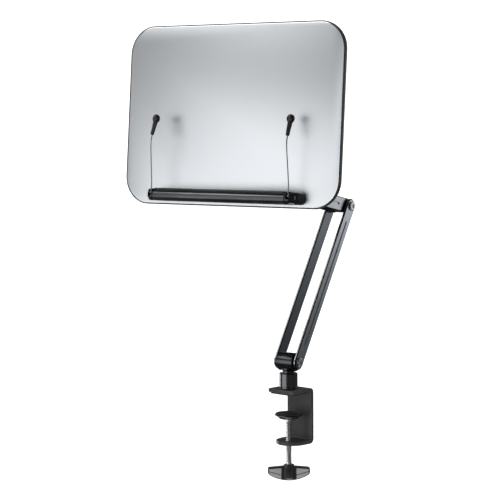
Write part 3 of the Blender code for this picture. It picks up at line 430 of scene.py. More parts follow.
def hole_cutters(nodes, low, high):
    """Round cutters through the panel where the frame's screws stand."""
    cutters = []
    for node in nodes:
        corner, far = node_box(node, PANEL)
        middle = (corner + far) / 2
        cutters.append(rod(SCREW_CLEARANCE, low, high, at=(middle.x, middle.y, 0)))
    return cutters


sheet = rounded_sheet(face_low, face_high, FACE_CORNER)
front = [edge for edge in sheet.edges if all(abs(v.co.z - face_high.z) < WELD for v in edge.verts)]
rim = bmesh.ops.bevel(sheet, geom=front, affect="EDGES", **bevel_args(CHAMFER, 2))
for face in rim["faces"]:
    face.material_index = 1
sheet = combine(sheet, hole_cutters(LEDGE_SCREWS, -10 * MM, 5 * MM))
finish(sheet, "panel_face", PANEL, "panel", [SILVER_SHEET, BRIGHT_CUT])

# %% [markdown]
# ## The black back
#
# The sheet lies in a moulded black back whose rim wraps its edge. The back's outer edge is rounded
# so that it is kind to the hands. Behind, one fine groove runs parallel to the edge, as moulders put
# in to hide the sink marks of the rim. Two insets and one push make that groove.

# %% Panel back
BACK_CORNER = 38.0 * MM
SEAT_GAP = 0.3 * MM
GROOVE_INSET = 9.0 * MM
GROOVE_WIDTH = 1.3 * MM
GROOVE_DEPTH = 0.6 * MM
REAR_ROUNDING = 1.8 * MM
LIP_ROUNDING = 0.25 * MM
POCKET_CORNER = 5.3 * MM
back_low, back_high = node_box("panel_back", PANEL)

back = rounded_sheet(back_low, back_high, BACK_CORNER)
flat = min(back.faces, key=lambda face: face.calc_center_median().z)
bmesh.ops.inset_region(back, faces=[flat], thickness=GROOVE_INSET)
ring = bmesh.ops.inset_region(back, faces=[flat], thickness=GROOVE_WIDTH)["faces"]
sunk = bmesh.ops.extrude_face_region(back, geom=ring)
verts = [item for item in sunk["geom"] if isinstance(item, bmesh.types.BMVert)]
bmesh.ops.delete(back, geom=ring, context="FACES")
bmesh.ops.translate(back, verts=verts, vec=(0, 0, GROOVE_DEPTH))
# The edges round the outside of the back join its rear to its tall sides; the groove's sides are low.
rear = [edge for edge in back.edges if all(abs(v.co.z - back_low.z) < WELD for v in edge.verts)]
rounding = [edge for edge in rear
            if any(face.calc_center_median().z > back_low.z + GROOVE_DEPTH for face in edge.link_faces)]
bmesh.ops.bevel(back, geom=rounding, affect="EDGES", **bevel_args(REAR_ROUNDING, 4))
lip = [edge for edge in back.edges if all(abs(v.co.z - back_high.z) < WELD for v in edge.verts)]
bmesh.ops.bevel(back, geom=lip, affect="EDGES", **bevel_args(LIP_ROUNDING, 2))
gap = Vector((SEAT_GAP, SEAT_GAP, SEAT_GAP))
seat_high = Vector((face_high.x + SEAT_GAP, face_high.y + SEAT_GAP, 3 * MM))
plate_low, plate_high = node_box("mount_backing_plate", PANEL)
pocket_high = Vector((plate_high.x + SEAT_GAP, plate_high.y + SEAT_GAP, 2 * MM))
tools = [rounded_sheet(face_low - gap, seat_high, FACE_CORNER + SEAT_GAP),
         rounded_sheet(plate_low - gap, pocket_high, POCKET_CORNER, 4)]
tools += hole_cutters(LEDGE_SCREWS + MOUNT_SCREWS, -12 * MM, 3 * MM)
finish(combine(back, tools), "panel_back", PANEL, "panel", [ABS_STIPPLE])

# %% [markdown]
# ## The mount flange and its screws
#
# The flange is turned from bar: a disc that four screws hold, and a collar that the head's spindle
# turns in. On a lathe every inside corner gets the radius of the tool, and every outside corner is
# broken.

# %% Mount flange
BORE = 6.3 * MM
FLANGE_NECK = 11.5 * MM
DISC_THICK = 3.7 * MM
NECK_FILLET = 2.4 * MM

flange_low, flange_high = node_box("mount_flange", PANEL)
disc = flange_high.z - DISC_THICK
profile = [(BORE, flange_high.z), (BORE, flange_low.z), (FLANGE_NECK, flange_low.z),
           (FLANGE_NECK, disc - NECK_FILLET)]
profile += [(FLANGE_NECK + NECK_FILLET * (1 - cos(a)), disc - NECK_FILLET * (1 - sin(a)))
            for a in (radians(18 * i) for i in range(1, 6))]
profile += [(flange_high.x, disc), (flange_high.x, flange_high.z)]
flange = turned(profile[::-1], 96, closed=True)
soften(flange, 0.5 * MM, 3, 50.0)
grub_low, grub_high = node_box("head_grub_screw", PANEL)
grub_hole = rod(SCREW_CLEARANCE, BORE - MM, FLANGE_NECK + 3 * MM, "Y", (0, 0, (grub_low.z + grub_high.z) / 2))
bmesh.ops.rotate(grub_hole, verts=grub_hole.verts, cent=(0, 0, 0), matrix=Matrix.Rotation(pi, 3, "Z"))
holes = hole_cutters(MOUNT_SCREWS, -20 * MM, 0.0) + [grub_hole]
finish(combine(flange, holes), "mount_flange", PANEL, "panel", [TURNED_BLACK])

# %% [markdown]
# ## Screws
#
# The panel's screws are button heads with a hexagon socket, as furniture makers use them: the low
# round head catches no sleeve. Set screws have no head at all, so they sink into their collar. Each
# is a lathe profile with a six-sided rod cut from it.

# %% Panel screws and set screws
SHANK = 2.0 * MM
HEAD_RADIUS = 3.6 * MM
HEAD_HEIGHT = 1.9 * MM
SOCKET_SIDES = 6
SET_RADIUS = 2.0 * MM


def hexagon(corner, low, high, axis="Z"):
    """Cutter for a hexagon socket, from its radius at the corners."""
    return rod(corner, low, high, axis, sides=SOCKET_SIDES)


def button_screw(node):
    """A button-head screw that is driven towards +Z, as the frame's node stands."""
    low, high = node_box(node, PANEL)
    middle = (low + high) / 2
    crown = [(HEAD_RADIUS * cos(a), low.z + HEAD_HEIGHT * (1 - sin(a)))
             for a in (radians(15 * i) for i in range(1, 6))]
    outline = [(0, low.z)] + crown[::-1]
    outline += [(HEAD_RADIUS, low.z + 2.0 * MM), (HEAD_RADIUS, low.z + 2.2 * MM), (SHANK, low.z + 2.2 * MM),
                (SHANK, high.z - 0.5 * MM), (SHANK - 0.5 * MM, high.z), (0, high.z)]
    work = combine(turned(outline, 32), [hexagon(1.35 * MM, low.z - MM, low.z + 1.2 * MM)])
    bmesh.ops.translate(work, verts=work.verts, vec=(middle.x, middle.y, 0))
    finish(work, node, PANEL, "panel", [NICKEL], 25.0)


def set_screw(node, place, body, way):
    """A set screw along Y with its socket on the outside; way is +1 or -1."""
    low, high = node_box(node, place)
    middle = (low + high) / 2
    half = (high.y - low.y) / 2
    outline = [(0, -half), (SET_RADIUS - 0.5 * MM, -half), (SET_RADIUS, 0.5 * MM - half),
               (SET_RADIUS, half - 0.3 * MM), (SET_RADIUS - 0.3 * MM, half), (0, half)]
    work = combine(turned(outline[::-1], 32, axis="Y"), [hexagon(1.15 * MM, half - 2 * MM, half + MM, "Y")])
    if way < 0:
        bmesh.ops.rotate(work, verts=work.verts, cent=(0, 0, 0), matrix=Matrix.Rotation(pi, 3, "Z"))
    bmesh.ops.translate(work, verts=work.verts, vec=middle)
    finish(work, node, place, body, [OXIDE], 25.0)


for screw in MOUNT_SCREWS + LEDGE_SCREWS:
    button_screw(screw)
set_screw("head_grub_screw", PANEL, "panel", -1)
set_screw("collar_grub_screw", CLAMP, "clamp", 1)

# %% [markdown]
# ## The book ledge
#
# The ledge bar is an aluminium extrusion, so it is one cross-section drawn along its length: a
# channel for the mat, a screw wall against the panel and a round nose. The outline has sharp
# corners, and a vertex bevel rounds the two of the nose before the outline gets its length. The
# faces of the nose that look up and forward get a lighter grey as a painted highlight, and the
# rounded ends of the nose are painted near black as shade.

# %% Ledge bar
bar_low, bar_high = node_box("ledge_bar", PANEL)
mat_low, mat_high = node_box("ledge_mat", PANEL)
NOSE_ROUNDING = 4.0 * MM
CHIN_ROUNDING = 6.2 * MM
CHANNEL_WALL = 2.8 * MM
NOSE_WALL = 7.9 * MM              # from the nose's front to the back of its solid part
SCREW_WALL = 4.5 * MM
MAT_STOP = 6.4 * MM               # from the nose's front to the front of the channel
END_BREAK = 0.9 * MM
HIGHLIGHT_TILT = 0.15                # faces that look up and forward by more than this get the painted highlight

depth = bar_high.z
floor_level = mat_low.y - 0.3 * MM
outline = [(bar_low.y, bar_low.z), (floor_level, bar_low.z), (floor_level, depth - MAT_STOP),
           (bar_high.y - 0.8 * MM, depth - MAT_STOP), (bar_high.y, depth - MAT_STOP + 0.8 * MM),
           (bar_high.y, depth), (bar_low.y, depth), (bar_low.y, depth - NOSE_WALL),
           (floor_level - CHANNEL_WALL, depth - NOSE_WALL), (floor_level - CHANNEL_WALL, SCREW_WALL),
           (bar_low.y, SCREW_WALL)]
bar = bmesh.new()
bar.faces.new([bar.verts.new((bar_low.x, y, z)) for y, z in outline])
for level, rounding in ((bar_high.y, NOSE_ROUNDING), (bar_low.y, CHIN_ROUNDING)):
    nose = [v for v in bar.verts if abs(v.co.z - depth) < WELD and abs(v.co.y - level) < WELD]
    bmesh.ops.bevel(bar, geom=nose, affect="VERTICES", **bevel_args(rounding, 12))
thicken(bar, (bar_high.x - bar_low.x, 0, 0))
# Painted highlight: the faces that look up and forward take the lighter grey, as if lit from above.
for face in bar.faces:
    if abs(face.normal.x) < 0.1 and min(face.normal.y, face.normal.z) > HIGHLIGHT_TILT:
        face.material_index = 2
# Painted shade: the rounded ends of the nose take the near-black finish.
ends = [edge for edge in bar.edges if abs(edge.verts[0].co.x - edge.verts[1].co.x) < WELD
        and all(v.co.z > depth - 5 * MM for v in edge.verts)]
rim = bmesh.ops.bevel(bar, geom=ends, affect="EDGES", **bevel_args(END_BREAK, 3))
for face in rim["faces"]:
    face.material_index = 1
bar = combine(bar, hole_cutters(LEDGE_SCREWS, -5 * MM, 7 * MM))
finish(bar, "ledge_bar", PANEL, "panel", [BAR_GREY, CHAMFER_SHADE, NOSE_HIGHLIGHT])

# %% [markdown]
# ## The rubber mat
#
# The mat is extruded too. Its foot lies in the bar's channel and its top reaches over the nose, so a
# book stands on rubber over the whole depth. Fine grooves along its length keep a smooth cover from
# sliding. A loop walks over the top and puts in one groove after the other.

# %% Ledge mat
LIP_THICK = 1.9 * MM
FOOT_FRONT = 19.4 * MM
RIB_PITCH = 2.4 * MM
RIB_GROOVE = 0.45 * MM

outline = [(mat_low.y, mat_low.z), (mat_high.y, mat_low.z)]
count = int((mat_high.z - mat_low.z - 2 * MM) / RIB_PITCH)
for i in range(count):
    start = mat_low.z + 1.6 * MM + i * RIB_PITCH
    outline += [(mat_high.y, start), (mat_high.y - RIB_GROOVE, start + 0.25 * MM),
                (mat_high.y - RIB_GROOVE, start + 0.7 * MM), (mat_high.y, start + 0.95 * MM)]
outline += [(mat_high.y, mat_high.z), (mat_high.y - LIP_THICK, mat_high.z),
            (mat_high.y - LIP_THICK, FOOT_FRONT), (mat_low.y, FOOT_FRONT)]
mat = bmesh.new()
mat.faces.new([mat.verts.new((mat_low.x, y, z)) for y, z in outline])
lip = [v for v in mat.verts if abs(v.co.z - mat_high.z) < WELD]
bmesh.ops.bevel(mat, geom=lip, affect="VERTICES", **bevel_args(0.7 * MM, 5))
thicken(mat, (mat_high.x - mat_low.x, 0, 0))
finish(mat, "ledge_mat", PANEL, "panel", [MAT_RUBBER])

# %% [markdown]
# ## The ledge ends
#
# Two glossy mouldings close the ledge. Each is a block with one big round corner in plan and soft
# top and bottom edges, so it looks like a pill from the front. The bevels go in that order: first the
# upright corner, then the rims that run round it. A slot that is open at the top and the front lets
# the page holder's spring show and swing.

# %% End caps
CAP_CORNER = 15.0 * MM
CAP_ROUNDING = 6.2 * MM
SLOT_HALF = 2.7 * MM
SLOT_FLOOR = 3.8 * MM             # below the pin's axis
PIN_RADIUS = 1.1 * MM


def end_cap(side):
    """One moulded ledge end with its slot and pin hole."""
    low, high = node_box(f"ledge_end_cap_{side}", PANEL)
    inner, outer = sorted((low.x, high.x), key=abs)
    work = box(low, high)
    upright = [e for e in work.edges
               if all(abs(v.co.x - outer) < WELD and abs(v.co.z - high.z) < WELD for v in e.verts)]
    bmesh.ops.bevel(work, geom=upright, affect="EDGES", **bevel_args(CAP_CORNER, 14))
    rims = [e for e in work.edges if abs(e.verts[0].co.y - e.verts[1].co.y) < WELD
            and not all(abs(v.co.x - inner) < WELD for v in e.verts)
            and not all(abs(v.co.z - low.z) < WELD for v in e.verts)
            and e.calc_face_angle() > radians(60)]
    bmesh.ops.bevel(work, geom=rims, affect="EDGES", **bevel_args(CAP_ROUNDING, 8))
    centre = PANEL.inverted() @ HOLDERS[side].translation
    slot = box((centre.x - SLOT_HALF, centre.y - SLOT_FLOOR, centre.z - SLOT_FLOOR),
               (centre.x + SLOT_HALF, high.y + 5 * MM, high.z + 2 * MM))
    pin_low, pin_high = node_box(f"holder_pin_{side}", PANEL)
    hole = rod(PIN_RADIUS + 0.3 * MM, pin_low.x - MM, pin_high.x + 0.3 * MM, "X", (0, centre.y, centre.z))
    work = combine(work, [slot, hole])
    soften(work, 0.25 * MM, 2, 50.0, lambda e: all(v.co.y > centre.y - 4 * MM for v in e.verts))
    finish(work, f"ledge_end_cap_{side}", PANEL, "panel", [ABS_GLOSS], 28.0)
    pin = rod(PIN_RADIUS, pin_low.x, pin_high.x, "X", (0, centre.y, centre.z))
    soften(pin, 0.2 * MM, 2)
    finish(pin, f"holder_pin_{side}", PANEL, "panel", [NICKEL])


for side, _ in SIDES:
    end_cap(side)

# %% [markdown]
# ## The page holders
#
# Each holder is one length of spring wire: a coil round the pin, a long upright and a bend towards
# the page. A small circle that is spun round the pin's axis while it moves along it makes the coil.
# The upright is a smooth curve with a round section. A ribbed sleeve and a soft round tip keep the
# wire from marking the page.

# %% Page holders
WIRE_RADIUS = 0.8 * MM
COIL_RADIUS = 2.4 * MM
COIL_TURNS = 2.5
COIL_WIRE = 0.7 * MM
BUSH_HALF = 2.2 * MM
BUSH_BORE = 1.4 * MM
BUSH_RADIUS = 1.65 * MM
GRIP_RIBS = 8
GRIP_PITCH = 1.7 * MM
GRIP_DEPTH = 0.25 * MM
SLEEVE_BORE = 0.85 * MM
SLEEVE_RADIUS = 3.2 * MM
SLEEVE_TAPER = 0.07 * MM          # how much each rib is smaller than the one above it
TIP_RADIUS = 5.8 * MM
TIP_HALF = 3.6 * MM
# The wire's route, sideways, up and out from the pin, in millimetres.
ROUTE = ((0.0, 0.4, 2.2), (0.0, 4.0, 1.9), (0.1, 9.0, 1.6), (0.1, 14.0, 1.7), (0.5, 34.0, 4.6),
         (1.0, 54.0, 7.5), (1.4, 64.0, 8.6), (1.5, 70.0, 8.3), (1.6, 77.0, 6.9), (1.9, 85.0, 4.2),
         (2.1, 92.0, 1.9), (2.2, 97.0, 0.4))
SLEEVE = ((1.6, 76.2, 7.1), (2.12, 93.6, 1.4))
TIP = (2.2, 98.0, 0.2)


def holder_point(point, way):
    """A point of the right-hand holder, mirrored for the left one, in metres."""
    return Vector((-way * point[0], point[1], point[2])) * MM


def coil(side, place, body):
    """Spring coil on the pin, with a nylon bush inside it."""
    work = bmesh.new()
    span = 2.3 * MM - WIRE_RADIUS * 0.8
    stand = Matrix.Translation((-span, 0, COIL_RADIUS)) @ Matrix.Rotation(pi / 2, 4, "X")
    bmesh.ops.create_circle(work, cap_ends=True, segments=12, radius=COIL_WIRE, matrix=stand)
    steps = int(COIL_TURNS * 28)
    bmesh.ops.spin(work, geom=work.verts[:] + work.edges[:] + work.faces[:], cent=(0, 0, 0), axis=(1, 0, 0),
                   dvec=(2 * span / steps, 0, 0), angle=COIL_TURNS * tau, steps=steps, use_merge=False)
    bush = turned([(BUSH_BORE, BUSH_HALF), (BUSH_RADIUS, BUSH_HALF), (BUSH_RADIUS, -BUSH_HALF),
                   (BUSH_BORE, -BUSH_HALF)], 32, closed=True, axis="X")
    mesh = bpy.data.meshes.new("bush")
    bush.to_mesh(mesh)
    bush.free()
    count = len(work.faces)
    work.from_mesh(mesh)
    bpy.data.meshes.remove(mesh)
    work.faces.ensure_lookup_table()
    for face in work.faces[count:]:
        face.material_index = 1
    finish(work, f"holder_hub_{side}", place, body, [SPRING, NYLON], 50.0)


def wire(side, way, place, body):
    """The upright, as a smooth curve that becomes a mesh."""
    curve = bpy.data.curves.new("wire", "CURVE")
    curve.dimensions = "3D"
    curve.resolution_u = 8
    curve.bevel_depth = WIRE_RADIUS
    curve.bevel_resolution = 5
    curve.use_fill_caps = True
    spline = curve.splines.new("NURBS")
    spline.points.add(len(ROUTE) - 1)
    spline.use_endpoint_u = True
    spline.order_u = 4
    for control, point in zip(spline.points, ROUTE):
        control.co = (*holder_point(point, way), 1)
    item = bpy.data.objects.new("wire", curve)
    bpy.context.scene.collection.objects.link(item)
    mesh = bpy.data.meshes.new_from_object(item.evaluated_get(bpy.context.evaluated_depsgraph_get()))
    work = bmesh.new()
    work.from_mesh(mesh)
    bpy.data.objects.remove(item, do_unlink=True)
    bpy.data.meshes.remove(mesh)
    finish(work, f"holder_wire_{side}", place, body, [SPRING], 50.0)


def sleeve_and_tip(side, way, place, body):
    """Tapered sleeve with grip ribs, and the round tip with a small nub on its face."""
    low, high = (holder_point(point, way) for point in SLEEVE)
    length = (high - low).length
    outline = [(SLEEVE_BORE, length), (SLEEVE_RADIUS - 0.1 * MM, length), (SLEEVE_RADIUS, length - 0.8 * MM)]
    for i in range(GRIP_RIBS):
        top = length - 1.5 * MM - i * GRIP_PITCH
        radius = SLEEVE_RADIUS - 0.05 * MM - SLEEVE_TAPER * i
        outline += [(radius - GRIP_DEPTH, top), (radius, top - 0.4 * MM), (radius, top - 0.9 * MM),
                    (radius - GRIP_DEPTH, top - 1.3 * MM)]
    outline += [(2.45 * MM, 0.6 * MM), (2.0 * MM, 0), (SLEEVE_BORE, 0)]
    work = turned(outline, 28, closed=True)
    stand = Matrix.Translation(low) @ (high - low).to_track_quat("Z", "Y").to_matrix().to_4x4()
    bmesh.ops.transform(work, matrix=stand, verts=work.verts)
    finish(work, f"holder_sleeve_{side}", place, body, [BLACK_RUBBER], 40.0)
    nub = [(0, 0.99 * TIP_HALF), (1.1 * MM, 0.97 * TIP_HALF), (1.3 * MM, 0.88 * TIP_HALF),
           (1.6 * MM, 0.88 * TIP_HALF)]
    crown = [(TIP_RADIUS * cos(a), TIP_HALF * sin(a)) for a in (radians(70 - 10 * i) for i in range(17))]
    work = turned(nub + crown + [(0, -TIP_HALF)], 48)
    bmesh.ops.translate(work, verts=work.verts, vec=holder_point(TIP, way))
    finish(work, f"holder_tip_{side}", place, body, [TIP_RUBBER], 40.0)


for side, way in SIDES:
    body = f"page_holder_{side}"
    coil(side, HOLDERS[side], body)
    wire(side, way, HOLDERS[side], body)
    sleeve_and_tip(side, way, HOLDERS[side], body)

# %% [markdown]
# ## The arm plates
#
# Four bars of grey anodised aluminium, two to a section. The narrow edges are satin between two
# chamfers painted near black as shade, the inner faces are painted a darker grey as shade, and a
# long groove is milled in each outer face. The bar is a circle whose upper half is moved up, then
# given thickness. The chamfer comes before the holes, so that the bevel meets clean edges only. The
# cutters have flared mouths, which break the edge of each hole and groove in the same stroke.

# %% Arm plates
PLATE_CHAMFER = 1.35 * MM
PLATE_HOLE = 4.3 * MM
GROOVE_HALF = 1.25 * MM
GROOVE_CUT = 1.2 * MM
GROOVE_START = 27.0 * MM
RING_RADIUS = 7.6 * MM
RING_CUT = 0.5 * MM
FLARE = 1.35                      # how much wider the groove is where it leaves the plate
PLATE_FACE, PLATE_RIM, PLATE_SHADED_CHAMFER, PLATE_SHADED_INSIDE = range(4)


def groove_cutter(outside, way):
    """Cutter for the long groove, wider where it leaves the plate's face."""
    length = arm_length - 2 * GROOVE_START
    outer = way * (outside + 0.6 * MM)
    low, high = sorted((way * (outside - GROOVE_CUT), outer))
    work = long_bar(GROOVE_HALF, length, low, high, 24)
    for vertex in work.verts:
        if abs(vertex.co.x - outer) < WELD:
            vertex.co.y *= FLARE
    # The flare bends the walls at the round ends, and an exact cut needs flat faces.
    bmesh.ops.triangulate(work, faces=work.faces)
    bmesh.ops.translate(work, verts=work.verts, vec=(0, 0, GROOVE_START))
    return work


def arm_plate(node, place, body, finish_material, way):
    """One side plate with satin edges, a groove, pivot holes and shallow seats for its bolt heads."""
    low, high = node_box(node, place)
    work = long_bar(high.y, arm_length, low.x, high.x, 64)
    for face in work.faces:
        face.material_index = PLATE_FACE if abs(face.normal.x) > 0.9 else PLATE_RIM
    rims = [e for e in work.edges if len({face.material_index for face in e.link_faces}) == 2]
    # Painted shade: the chamfers take the near-black finish.
    made = bmesh.ops.bevel(work, geom=rims, affect="EDGES", **bevel_args(PLATE_CHAMFER, 1))
    for face in made["faces"]:
        face.material_index = PLATE_SHADED_CHAMFER
    # Painted shade: the face towards the other plate takes the darker grey.
    for face in work.faces:
        if face.normal.x * way < -0.9:
            face.material_index = PLATE_SHADED_INSIDE
    outside = max(abs(low.x), abs(high.x))
    tools = [groove_cutter(outside, way)]
    for height in (0, arm_length):
        tools.append(rod(PLATE_HOLE, low.x - MM, high.x + MM, "X", (0, 0, height), 40))
        near, far = sorted((way * (outside - RING_CUT), way * (outside + MM)))
        tools.append(rod(RING_RADIUS, near, far, "X", (0, 0, height), 56))
    work = combine(work, tools)
    finish(work, node, place, body, [finish_material, ARM_EDGE, CHAMFER_SHADE, INSIDE_FACE_SHADE], 20.0)


for side, way in SIDES:
    arm_plate(f"lower_arm_plate_{side}", LOWER, "lower_arm", ARM_LOWER, way)
    arm_plate(f"upper_arm_plate_{side}", UPPER, "upper_arm", ARM_UPPER, way)

# %% [markdown]
# ## Pivots
#
# Each pivot is a shoulder bolt and a sleeve nut of plated steel, with nylon washers between the
# plates. The heads are turned with a fine ring, and have a hexagon socket. A bolt is drawn as the
# radii and lengths of its steps, which is all that a lathe needs to know. The shallow seat that was
# cut in the plate is wider than the head, so its edge draws a thin dark ring.

# %% Bolts, nuts and washers
AXLE = 4.0 * MM
TIP_AXLE = 2.7 * MM
BOLT_HEAD = 6.6 * MM
SOCKET = 3.0 * MM
SOCKET_DEEP = 1.3 * MM
HEAD_THICK = 2.2 * MM
# Steps of a head from its seat to its middle: in from the rim and down from the face, in millimetres.
HEAD_STEPS = ((0, 0.7), (0.25, 0.25), (0.8, 0), (1.5, 0), (1.7, 0.25), (2.0, 0.25), (2.2, 0))


def bolt_head(seat, face):
    """Head from its seat to its face: rounded rim and one turned ring."""
    steps = [(BOLT_HEAD - inward * MM, face - down * MM) for inward, down in HEAD_STEPS]
    return [(BOLT_HEAD, seat)] + steps + [(0, face)]


def pivot(name, place, body):
    """Shoulder bolt from the right and sleeve nut from the left."""
    low, high = node_box(f"{name}_pivot_bolt", place)
    face = high.x
    seat = face - HEAD_THICK
    inside = seat - 4.3 * MM
    socket = (SOCKET, face - SOCKET_DEEP, face + MM, "X")
    outline = [(0, low.x), (TIP_AXLE, low.x), (TIP_AXLE, -inside), (AXLE, -inside), (AXLE, seat)]
    bolt = turned((outline + bolt_head(seat, face))[::-1], 56, axis="X")
    bolt = combine(bolt, [hexagon(*socket)])
    finish(bolt, f"{name}_pivot_bolt", place, body, [NICKEL], 20.0)
    bore = TIP_AXLE + 0.3 * MM
    outline = [(0, seat + 0.4 * MM), (bore, seat + 0.4 * MM), (bore, inside + 0.3 * MM),
               (AXLE, inside + 0.3 * MM), (AXLE, seat)]
    nut = turned((outline + bolt_head(seat, face))[::-1], 56, axis="X")
    nut = combine(nut, [hexagon(*socket)])
    bmesh.ops.rotate(nut, verts=nut.verts, cent=(0, 0, 0), matrix=Matrix.Rotation(pi, 3, "Z"))
    finish(nut, f"{name}_pivot_nut", place, body, [NICKEL], 20.0)


def tube(node, place, steps):
    """A plain tube round a pivot, from the ends and the outside of its frame node."""
    low, high = node_box(node, place)
    return turned([(PLATE_HOLE, high.x), (high.y, high.x), (high.y, low.x), (PLATE_HOLE, low.x)], steps,
                  closed=True, axis="X")


def washers(name, place, body):
    """The two nylon washers of a pivot."""
    for side, _ in SIDES:
        node = f"{name}_washer_{side}"
        work = tube(node, place, 48)
        soften(work, 0.12 * MM, 2)
        finish(work, node, place, body, [NYLON])


for name, place, body in (("lower", LOWER, "lower_arm"), ("elbow", ELBOW, "lower_arm"),
                          ("head", FAR_UPPER, "upper_arm")):
    pivot(name, place, body)
    washers(name, place, body)

# %% [markdown]
# ## Knuckles and spacer
#
# A knuckle is a barrel between the plates with a neck below it, joined by an exact Boolean union. The
# spindle below the neck has a groove in which the collar's set screw runs, which lets it turn but not
# lift out. The neck starts outside the bolt's bore, so the bore needs no second cut.

# %% Knuckles
COLLAR_END = 15.6 * MM
NECK_ROOT = 6.5 * MM
NECK_RADIUS = 8.4 * MM
SPINDLE = 6.0 * MM
SPINDLE_WAIST = 5.0 * MM
WAIST_HALF = 2.5 * MM


def knuckle(node, place, body, way, groove):
    """Barrel on the hinge axis, with a neck and a grooved spindle along Z; way is +1 up or -1 down."""
    low, high = node_box(node, place)
    half = high.x
    radius, reach = (high.z, -low.z) if way < 0 else (-low.z, high.z)
    barrel = turned([(PLATE_HOLE, half), (radius, half), (radius, -half), (PLATE_HOLE, -half)], 96,
                    closed=True, axis="X")
    soften(barrel, 0.9 * MM, 3, 50.0)
    neck = min(NECK_RADIUS, half - 0.8 * MM)
    shoulder = COLLAR_END - 0.3 * MM
    steps = [(0, NECK_ROOT), (neck + MM, NECK_ROOT), (neck + MM, radius - 2.2 * MM),
             (neck, radius - 0.4 * MM), (neck, shoulder), (SPINDLE, shoulder), (SPINDLE, groove - WAIST_HALF),
             (SPINDLE_WAIST, groove - WAIST_HALF), (SPINDLE_WAIST, groove + WAIST_HALF),
             (SPINDLE, groove + WAIST_HALF), (SPINDLE, reach - 0.6 * MM), (SPINDLE - 0.6 * MM, reach),
             (0, reach)]
    post = turned(steps, 72)
    if way < 0:
        bmesh.ops.rotate(post, verts=post.verts, cent=(0, 0, 0), matrix=Matrix.Rotation(pi, 3, "X"))
    work = combine(barrel, [post], "UNION")
    finish(work, node, place, body, [KNUCKLE_BLACK], 25.0)


knuckle("base_knuckle", SWIVEL, "post_swivel", -1, COLLAR_END + 9.0 * MM)
knuckle("head_knuckle", HEAD, "head_joint", 1, COLLAR_END + 5.0 * MM)

spacer = tube("elbow_spacer", UPPER, 72)
soften(spacer, 0.6 * MM, 3)
finish(spacer, "elbow_spacer", UPPER, "upper_arm", [TURNED_BLACK])

# %% [markdown]
# ## The post collar
#
# A plain turned collar stands on the clamp and holds the arm's spindle. Its top edge has a wide
# chamfer that catches the light, and a fine turned line sits near its foot. The bore is stepped: the
# spindle fills the wide part, and the bolt that holds the collar down comes up through the narrow one.

# %% Post collar
TOP_CHAMFER = 1.1 * MM
LINE_CUT = 0.3 * MM
BOLT_BORE = 3.3 * MM
BORE_FLOOR = 12.0 * MM

low, high = node_box("post_collar", CLAMP)
radius = high.x
line = low.z + 2.6 * MM
profile = [(BORE, high.z), (radius - TOP_CHAMFER, high.z), (radius, high.z - TOP_CHAMFER),
           (radius, line + LINE_CUT), (radius - LINE_CUT, line), (radius, line - LINE_CUT),
           (radius, low.z + 0.5 * MM), (radius - 0.5 * MM, low.z), (BOLT_BORE, low.z),
           (BOLT_BORE, BORE_FLOOR), (BORE, BORE_FLOOR)]
collar = turned(profile, 96, closed=True)
grub_low, grub_high = node_box("collar_grub_screw", CLAMP)
height = (grub_low.z + grub_high.z) / 2
hole = rod(SCREW_CLEARANCE, 6.0 * MM, radius + 0.3 * MM, "Y", (0, 0, height), 32, 0.3 * MM)
finish(combine(collar, [hole]), "post_collar", CLAMP, "clamp", [TURNED_BLACK], 25.0)

# %% [markdown]
# ## The clamp bracket
#
# The bracket is a strip of 5 mm steel plate with two bends. It is made as the press makes it: one
# rectangle of section is pushed along the top jaw, swung round the bend, pushed down the web, swung
# again and pushed out to the lower jaw. The ends are then rounded, the lower one to a half circle.

# %% Clamp bracket
bracket_low, bracket_high = node_box("clamp_bracket", CLAMP)
PLATE = 5.0 * MM
INNER_BEND = 1.5 * MM
LOWER_FRONT = 15.2 * MM
TOP_CORNER = 3.2 * MM
SCREW_BORE = 4.3 * MM
BOLT_SINK = 6.6 * MM              # radius of the countersink for the collar's bolt

half_width = bracket_high.x
web_back = bracket_high.y
bend = INNER_BEND + PLATE


def push(work, faces, vector):
    """Push faces along, and return the faces at the new end."""
    made = bmesh.ops.extrude_face_region(work, geom=faces)
    verts = [item for item in made["geom"] if isinstance(item, bmesh.types.BMVert)]
    bmesh.ops.translate(work, verts=verts, vec=vector)
    end = [item for item in made["geom"] if isinstance(item, bmesh.types.BMFace)]
    bmesh.ops.delete(work, geom=faces, context="FACES_ONLY")
    return end


def swing(work, faces, centre, steps=8):
    """Swing faces a quarter turn round a bend that runs along X, and return the end faces."""
    for _ in range(steps):
        made = bmesh.ops.extrude_face_region(work, geom=faces)
        verts = [item for item in made["geom"] if isinstance(item, bmesh.types.BMVert)]
        bmesh.ops.rotate(work, verts=verts, cent=centre, matrix=Matrix.Rotation(-pi / 2 / steps, 3, "X"))
        end = [item for item in made["geom"] if isinstance(item, bmesh.types.BMFace)]
        bmesh.ops.delete(work, geom=faces, context="FACES_ONLY")
        faces = end
    return faces


top = bracket_high.z
under = top - PLATE
bottom = bracket_low.z
bracket = bmesh.new()
corners = [(-half_width, bracket_low.y, under), (half_width, bracket_low.y, under),
           (half_width, bracket_low.y, top), (-half_width, bracket_low.y, top)]
section = bracket.faces.new([bracket.verts.new(corner) for corner in corners])
